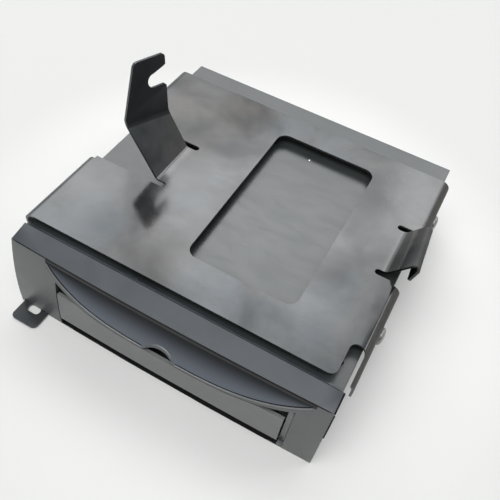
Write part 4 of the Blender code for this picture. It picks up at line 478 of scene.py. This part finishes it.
# The node's own solid with its doubles merged, its flat faces joined and its edges rounded
def refinedCopy(node, body, name):
    v = refining
    mesh = frame["nodes"][node].data.copy()
    slot = slotOf(node)
    bm = bmesh.new()
    bm.from_mesh(mesh)
    bmesh.ops.remove_doubles(bm, verts=bm.verts, dist=v["merge"])
    bmesh.ops.dissolve_limit(bm, angle_limit=math.radians(v["flatAngle"]), verts=bm.verts,
                             edges=bm.edges)
    for point, direction in skinCuts.get(node, []):
        bmesh.ops.bisect_plane(bm, geom=bm.verts[:] + bm.edges[:] + bm.faces[:],
                               dist=v["merge"], plane_co=point, plane_no=direction)
    bm.to_mesh(mesh)
    bm.free()
    piece = bpy.data.objects.new(name, mesh)
    scene.collection.objects.link(piece)
    mesh.materials.clear()
    mesh.materials.append(nodeFinishes.get(node, finishes[slot]))
    mesh.materials.append(edgeWearAndHighlightFinishes.get(slot, finishes[slot]))
    indices = np.zeros(len(mesh.polygons), dtype=np.int32)
    for skin in skins.get(node, []):
        indices[coveredFaces(mesh, skin)] = len(mesh.materials)
        mesh.materials.append(skin["finish"])
    mesh.polygons.foreach_set("material_index", indices)
    rounding = piece.modifiers.new("rounding", "BEVEL")
    rounding.width = v["plateRound"] if node == "bracket_plate" else v["round"]
    rounding.segments = v["segments"]
    rounding.limit_method = "ANGLE"
    rounding.angle_limit = math.radians(v["edgeAngle"])
    # The rounded edges take the paler edge finish: rubbed wear and a painted highlight
    rounding.material = 1
    mesh.shade_smooth()
    mesh.set_sharp_from_angle(angle=math.radians(v["creaseAngle"]))
    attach(piece, body)
    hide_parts(node)


bodies = frame["record"]["behaviour"]["bodies"]
bodyOf = {node: body for body, members in bodies.items() for node in members}
for node, solid in frame["nodes"].items():
    if node not in shown:
        solid.material_slots[0].material = nodeFinishes.get(node, finishes[slotOf(node)])
for node in shown:
    refinedCopy(node, bodyOf[node], node.replace("_", "") + "Shell")
print("nodes dressed:", len(frame["nodes"]), "of them refined:", len(shown))


# New pieces: each is one or more grids of points, worked out as whole arrays

gridValues = {"merge": 0.0000005, "creaseAngle": 40}


# Grids of rows and columns made into one mesh on the chassis. Where the columns close, the
# last column joins the first. Doubles at poles and seams are merged and every face is turned
# outwards.
def gridPiece(name, grids, slot, finish=None, closeColumns=True):
    points, quads, start = [], [], 0
    for grid in grids:
        rows, cols = grid.shape[:2]
        index = np.arange(rows * cols).reshape(rows, cols) + start
        if closeColumns:
            index = np.hstack((index, index[:, :1]))
        corners = (index[:-1, :-1], index[1:, :-1], index[1:, 1:], index[:-1, 1:])
        quads.append(np.stack(corners, axis=-1).reshape(-1, 4))
        points.append(grid.reshape(-1, 3))
        start += rows * cols
    mesh = bpy.data.meshes.new(name)
    mesh.from_pydata(np.vstack(points).tolist(), [], np.vstack(quads).tolist())
    mesh.materials.append(finish or finishes[slot])
    bm = bmesh.new()
    bm.from_mesh(mesh)
    bmesh.ops.remove_doubles(bm, verts=bm.verts, dist=gridValues["merge"])
    bmesh.ops.recalc_face_normals(bm, faces=bm.faces)
    bm.to_mesh(mesh)
    bm.free()
    mesh.shade_smooth()
    mesh.set_sharp_from_angle(angle=math.radians(gridValues["creaseAngle"]))
    piece = bpy.data.objects.new(name, mesh)
    scene.collection.objects.link(piece)
    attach(piece, "chassis")
    return piece


# Angles once round, without the last, which is the first again
def turnAngles(sides):
    return np.linspace(0, 2 * np.pi, sides, endpoint=False)


# Bracket screws: the tip and the head's rim are chamfered, each by a share of its radius and
# a length along the axis
screwShape = {"shank": 0.0019, "head": 0.0048, "underHead": 0.0073, "length": 0.0097,
              "rim": 0.0007, "tipShare": 0.8, "chamfer": 0.0003, "rimShare": 0.97,
              "rimRound": 0.00015, "crossArm": 0.0024, "crossHalf": 0.00055,
              "crossDepth": 0.0012, "crossSlope": 0.0003, "rings": 30, "sides": 96}


# A profile of radius against length turned round the screw's axis. The crown rises as a
# quarter circle, and the cross recess is sunk where a point lies within one of its arms.
def screwGrid(outward, tip, y, z):
    v = screwShape
    crownStart = v["underHead"] + v["rim"]
    low = np.array([[0, 0], [v["shank"] * v["tipShare"], 0], [v["shank"], v["chamfer"]],
                    [v["shank"], v["underHead"]], [v["head"] * v["rimShare"], v["underHead"]],
                    [v["head"], v["underHead"] + v["rimRound"]], [v["head"], crownStart]])
    share = np.linspace(1, 0, v["rings"])[1:]
    crown = crownStart + (v["length"] - crownStart) * np.sqrt(1 - share ** 2)
    radius = np.concatenate((low[:, 0], v["head"] * share))
    along = np.concatenate((low[:, 1], crown))
    r, a = np.meshgrid(radius, turnAngles(v["sides"]), indexing="ij")
    x = np.repeat(along[:, None], v["sides"], axis=1)
    across, upward = np.abs(r * np.cos(a)), np.abs(r * np.sin(a))
    armOne = np.minimum(v["crossArm"] - across, v["crossHalf"] - upward)
    armTwo = np.minimum(v["crossArm"] - upward, v["crossHalf"] - across)
    inside = np.clip(np.maximum(armOne, armTwo) / v["crossSlope"], 0, 1)
    x = np.where(x > crownStart, x - v["crossDepth"] * inside, x)
    return np.stack((tip + outward * x, y + r * np.cos(a), z + r * np.sin(a)), axis=-1)


screwNodes = [name for name in frame["nodes"] if name.startswith("bracket_screw")]
screwGrids = []
for name in screwNodes:
    low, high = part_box(name)
    side = 1 if high[0] > 0 else -1
    tip = low[0] if side > 0 else high[0]
    screwGrids.append(screwGrid(side, tip, (low[1] + high[1]) / 2, (low[2] + high[2]) / 2))
screws = gridPiece("bracketScrews", screwGrids, "zinc", drawnMetal("screwFinish", screwZinc))
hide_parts(*screwNodes)
print("screws turned:", len(screwGrids))


# Socket pins, which point to the back in two rows
pinShape = {"radius": 0.0005, "tip": 0.00022, "base": 0.0772, "shoulder": 0.0826,
            "end": 0.0832, "rows": (0.0182, 0.0226), "first": 0.0273, "last": 0.0567,
            "perRow": 8, "sides": 10}


# A short rod whose radius falls evenly from its shoulder to its end
def pinGrid(x, z):
    v = pinShape
    radius = np.array([0, v["radius"], v["radius"], v["tip"], 0])
    along = np.array([v["base"], v["base"], v["shoulder"], v["end"], v["end"]])
    r, a = np.meshgrid(radius, turnAngles(v["sides"]), indexing="ij")
    y = np.repeat(along[:, None], v["sides"], axis=1)
    return np.stack((x + r * np.cos(a), y, z + r * np.sin(a)), axis=-1)


pinPlaces = np.linspace(pinShape["first"], pinShape["last"], pinShape["perRow"])
gridPiece("socketPins", [pinGrid(x, z) for z in pinShape["rows"] for x in pinPlaces], "zinc")


# Lid pip
pipShape = {"x": 0.0125, "y": 0.0436, "lid": 0.0469, "radius": 0.0008, "height": 0.00035,
            "sink": 0.00005, "rings": 10, "sides": 32}


# A low dome, its height falling as a cosine from the middle to the rim
def pipGrid():
    v = pipShape
    r, a = np.meshgrid(v["radius"] * np.linspace(1, 0, v["rings"]), turnAngles(v["sides"]),
                       indexing="ij")
    dome = (v["height"] + v["sink"]) * np.cos(np.pi / 2 * r / v["radius"])
    z = v["lid"] - v["sink"] + dome
    return np.stack((v["x"] + r * np.cos(a), v["y"] + r * np.sin(a), z), axis=-1)


gridPiece("lidPip", [pipGrid()], "steel")
print("pins and pip made")


# Notch rim: each circle is its middle across and up, its radius and its starting angle
notchRim = {"outer": (0.00143, 0.01583, 0.01236, 42.0), "inner": (0.0014, 0.0128, 0.0136, 56.3),
            "rise": 0.0005, "sink": 0.0001, "fade": 0.07, "across": 13, "along": 90,
            "step": 0.0001}


# A low bead on the scoop's wall round the finger notch, from the outer circle to the inner
# one. It rises off the wall as half a sine and fades at both ends.
def rimGrid():
    v = notchRim
    circles = []
    for middleX, middleZ, radius, start in (v["outer"], v["inner"]):
        angle = np.radians(np.linspace(180 - start, start, v["along"]))
        circles.append(np.stack((middleX + radius * np.cos(angle),
                                 middleZ + radius * np.sin(angle)), axis=-1))
    t = np.linspace(0, 1, v["across"])[:, None, None]
    flat = circles[0] * (1 - t) + circles[1] * t
    x, z = flat[..., 0], flat[..., 1]
    slope = (scoopSurface(x, z + v["step"]) - scoopSurface(x, z - v["step"])) / (2 * v["step"])
    size = np.sqrt(1 + slope ** 2)
    ends = np.linspace(0, 1, v["along"])[None, :]
    fade = np.clip(np.minimum(ends, 1 - ends) / v["fade"], 0, 1)
    lift = v["rise"] * fade * np.sin(np.pi * t[..., 0]) - v["sink"]
    return np.stack((x, scoopSurface(x, z) - lift / size, z + lift * slope / size), axis=-1)


gridPiece("notchRim", [rimGrid()], "moulding", closeColumns=False)
print("notch rim made")


# Fascia lines: a pale bead along the lip, and dark beads that paint the shade in creases: one
# along the lip's scoop side, lines along the top's front, back and right side, and one down the
# front's right edge
topLine = {"half": 0.0899, "radius": 0.00028, "backRadius": 0.000182, "sideRadius": 0.0004,
           "sink": 0.00008, "back": -0.0853, "backHeight": 0.0502,
           "points": 60, "sides": 8, "taper": 0.01}
edgeLine = {"x": 0.0901, "low": 0.0285, "high": 0.0472, "back": 0.0003, "radius": 0.0004,
            "points": 60, "sides": 8, "taper": 0.05}
upwards, backwards = np.array([0.0, 0.0, 1.0]), np.array([0.0, 1.0, 0.0])


# A round bead swept along a path. Each ring lies across the path, on one axis square to the
# path and to the aside direction and on another square to both. The radius falls to nothing
# at both ends as a quarter circle over the taper, which is a share of the path.
def beadGrid(x, y, z, radius, v, aside=upwards):
    path = np.stack((x, y, z), axis=-1)
    share = np.linspace(0, 1, len(path))
    ends = np.clip(np.minimum(share, 1 - share) / v["taper"], 0, 1)
    along = np.gradient(path, axis=0)
    along /= np.linalg.norm(along, axis=1)[:, None]
    across = np.cross(along, aside)
    across /= np.linalg.norm(across, axis=1)[:, None]
    upward = np.cross(across, along)
    angle = turnAngles(v["sides"])[None, :, None]
    size = (radius * np.sqrt(1 - (1 - ends) ** 2))[:, None, None]
    return path[:, None] + size * (np.cos(angle) * across[:, None]
                                   + np.sin(angle) * upward[:, None])


# A bead along one span of the lip, moved up square to the lip and back from the front
def lipGrid(start, end, up, back, radius):
    v = lipLine
    x = np.linspace(start, end, v["points"])
    t = (x - v["middle"]) / v["half"]
    power = np.where(t < 0, v["leftPower"], v["rightPower"])
    z = v["low"] + v["rise"] * np.abs(t) ** power
    slope = np.gradient(z, x)
    size = np.sqrt(1 + slope ** 2)
    x, z = x - up * slope / size, z + up / size
    return beadGrid(x, frontSurface(x, z) + back, z, radius, v)


# The notch parts the lip into two spans
lipReach = lipLine["half"] * lipLine["endShare"]
lipSpans = [(lipLine["middle"] - lipReach, lipLine["notchLeft"]),
            (lipLine["notchRight"], lipLine["middle"] + lipReach)]
# The lip's bead, whose pale finish paints the lip's highlight
gridPiece("lipBead", [lipGrid(start, end, 0, lipLine["sink"], lipLine["radius"])
                      for start, end in lipSpans], "moulding",
          mouldedSkin("beadFinish", beadHighlightSkin))

# Dark beads that paint the shade along the fascia's creases and edges
shadeLines = [lipGrid(start, end, lipLine["seamUp"], lipLine["seamBack"], lipLine["seamRadius"])
         for start, end in lipSpans]
acrossX = np.linspace(-topLine["half"], topLine["half"], topLine["points"])
frontZ = np.full_like(acrossX, frontShape["top"] - topLine["sink"])
shadeLines.append(beadGrid(acrossX, frontSurface(acrossX, frontZ) + topLine["sink"], frontZ,
                      topLine["radius"], topLine))
backZ = np.full_like(acrossX, topLine["backHeight"] - topLine["sink"])
shadeLines.append(beadGrid(acrossX, np.full_like(acrossX, topLine["back"]), backZ,
                      topLine["backRadius"], topLine))
sideY = np.linspace(frontShape["cornerY"], topLine["back"], topLine["points"])
sideZ = np.linspace(frontShape["top"], topLine["backHeight"], topLine["points"])
shadeLines.append(beadGrid(np.full_like(sideY, topLine["half"]), sideY, sideZ - topLine["sink"],
                      topLine["sideRadius"], topLine))
edgeZ = np.linspace(edgeLine["low"], edgeLine["high"], edgeLine["points"])
edgeX = np.full_like(edgeZ, edgeLine["x"])
shadeLines.append(beadGrid(edgeX, frontSurface(edgeX, edgeZ) + edgeLine["back"], edgeZ,
                      edgeLine["radius"], edgeLine, backwards))
gridPiece("fasciaSeams", shadeLines, "moulding", seamFinish)
print("fascia lines made")


# Floor, light and camera

# The floor greys between its two reaches, which are distances from its middle: painted shade
floorValues = {"near": (0.676, 0.671, 0.656), "far": (0.602, 0.597, 0.583),
               "nearReach": 0.13, "farReach": 0.20, "size": 6.0, "drop": 0.0002,
               "mottle": 9.0, "mottleSpan": (0.3, 0.7), "lighter": 1.03,
               "rough": 0.6, "specular": 0.15}


# A flat floor at the object's base with a faint mottle, and painted shade that makes it a
# little greyer away from the object
def makeFloor():
    v = floorValues
    half, z = v["size"] / 2, -v["drop"]
    mesh = bpy.data.meshes.new("floor")
    mesh.from_pydata([(-half, -half, z), (half, -half, z), (half, half, z), (-half, half, z)],
                     [], [(0, 1, 2, 3)])
    floor = bpy.data.objects.new("floor", mesh)
    scene.collection.objects.link(floor)
    material, tree, shader = newMaterial("floorFinish")
    mottle = mapRange(tree, objectNoise(tree, "mottle", v["mottle"]), v["mottleSpan"])
    lighter = tuple(part * v["lighter"] for part in v["near"])
    near = mixColours(tree, mottle, v["near"], lighter)
    reach = addNode(tree, "ShaderNodeVectorMath", {"operation": "LENGTH"},
                    {0: objectPlace(tree)})
    away = mapRange(tree, reach.outputs["Value"], (v["nearReach"], v["farReach"]))
    plug(tree, shader.inputs["Base Color"], mixColours(tree, away, near, v["far"]))
    plug(tree, shader.inputs["Roughness"], v["rough"])
    plug(tree, shader.inputs["Specular IOR Level"], v["specular"])
    mesh.materials.append(material)


skyValues = {"dome": 0.06, "backdrop": 0.9, "tint": (0.975, 0.99, 1.0, 1.0)}
# Soft lights of the studio sky: elevation, degrees to the left of straight back, strength,
# and the angles from its middle where each one starts and ends to fade
skyLights = [
    (6, -67.5, 0.3, 4, 36),
    (6, -22.5, 0.7, 4, 34),
    (30, 45, 1.1, 4, 34),
    (30, 90, 0.5, 4, 34),
    (30, 135, 0.6, 4, 30),
    (30, -90, 0.15, 4, 30),
    (58, 30, 0.35, 4, 36),
    (58, -30, 0.2, 4, 36),
    (68, 150, 4.5, 4, 27),
    (68, -140, 3.1, 4, 27),
    (36, -45, 5.4, 2, 14),
    (40, -14, 2.2, 2, 16),
    (40, 0, 1.35, 2, 16),
    (40, 28, 0.5, 2, 16),
    (40, 42, 0.3, 2, 16),
    (40, 56, 1.6, 2, 16),
    (53, 2, 0.5, 2, 16),
    (53, 20, 3, 2, 15),
    (53, 38, 0.4, 2, 16),
]


# The sky is an even dome with soft bright lobes on it; each lobe fades with the angle between
# the ray and the lobe's middle. Camera rays see a pale backdrop.
def makeWorld():
    v = skyValues
    world = bpy.data.worlds.new("studio")
    world.use_nodes = True
    scene.world = world
    tree = world.node_tree
    dome = tree.nodes["Background"]
    plug(tree, dome.inputs["Color"], v["tint"])
    plug(tree, dome.inputs["Strength"], v["dome"])
    coord = addNode(tree, "ShaderNodeTexCoord")
    total = dome.outputs["Background"]
    for height, turn, strength, inner, outer in skyLights:
        up, left = math.radians(height), math.radians(turn)
        middle = (-math.sin(left) * math.cos(up), math.cos(left) * math.cos(up), math.sin(up))
        dot = addNode(tree, "ShaderNodeVectorMath", {"operation": "DOT_PRODUCT"},
                      {0: coord.outputs["Generated"], 1: middle})
        fading = (math.cos(math.radians(outer)), math.cos(math.radians(inner)))
        glow = mapRange(tree, dot.outputs["Value"], fading, 0.0, strength)
        lobe = addNode(tree, "ShaderNodeBackground",
                       inputs={"Color": v["tint"], "Strength": glow})
        both = addNode(tree, "ShaderNodeAddShader",
                       inputs={0: total, 1: lobe.outputs["Background"]})
        total = both.outputs["Shader"]
    backdrop = addNode(tree, "ShaderNodeBackground",
                       inputs={"Color": v["tint"], "Strength": v["backdrop"]})
    path = addNode(tree, "ShaderNodeLightPath")
    choice = addNode(tree, "ShaderNodeMixShader",
                     inputs={0: path.outputs["Is Camera Ray"], 1: total,
                             2: backdrop.outputs["Background"]})
    plug(tree, tree.nodes["World Output"].inputs["Surface"], choice.outputs["Shader"])


# The photograph's own view, solved from the object's corners: lens and sensor in millimetres,
# the camera's place, and the directions of its right side, its top and its back
view = {"lens": 42.463, "sensor": 36.0, "clipStart": 0.01,
        "place": (0.085735, -0.211845, 0.290119),
        "right": (0.87325626, 0.4784116, 0.09244376),
        "up": (-0.42997369, 0.66733841, 0.60809709),
        "back": (0.22922943, -0.57077297, 0.78846185)}


def makeCamera():
    lens = bpy.data.cameras.new("camera")
    lens.lens = view["lens"]
    lens.sensor_width = view["sensor"]
    lens.clip_start = view["clipStart"]
    camera = bpy.data.objects.new("camera", lens)
    pose = Matrix((view["right"], view["up"], view["back"])).transposed().to_4x4()
    pose.translation = Vector(view["place"])
    camera.matrix_world = pose
    scene.collection.objects.link(camera)
    scene.camera = camera


makeFloor()
makeWorld()
makeCamera()
scene.view_settings.view_transform = "Standard"
print("stage, lights and camera set")
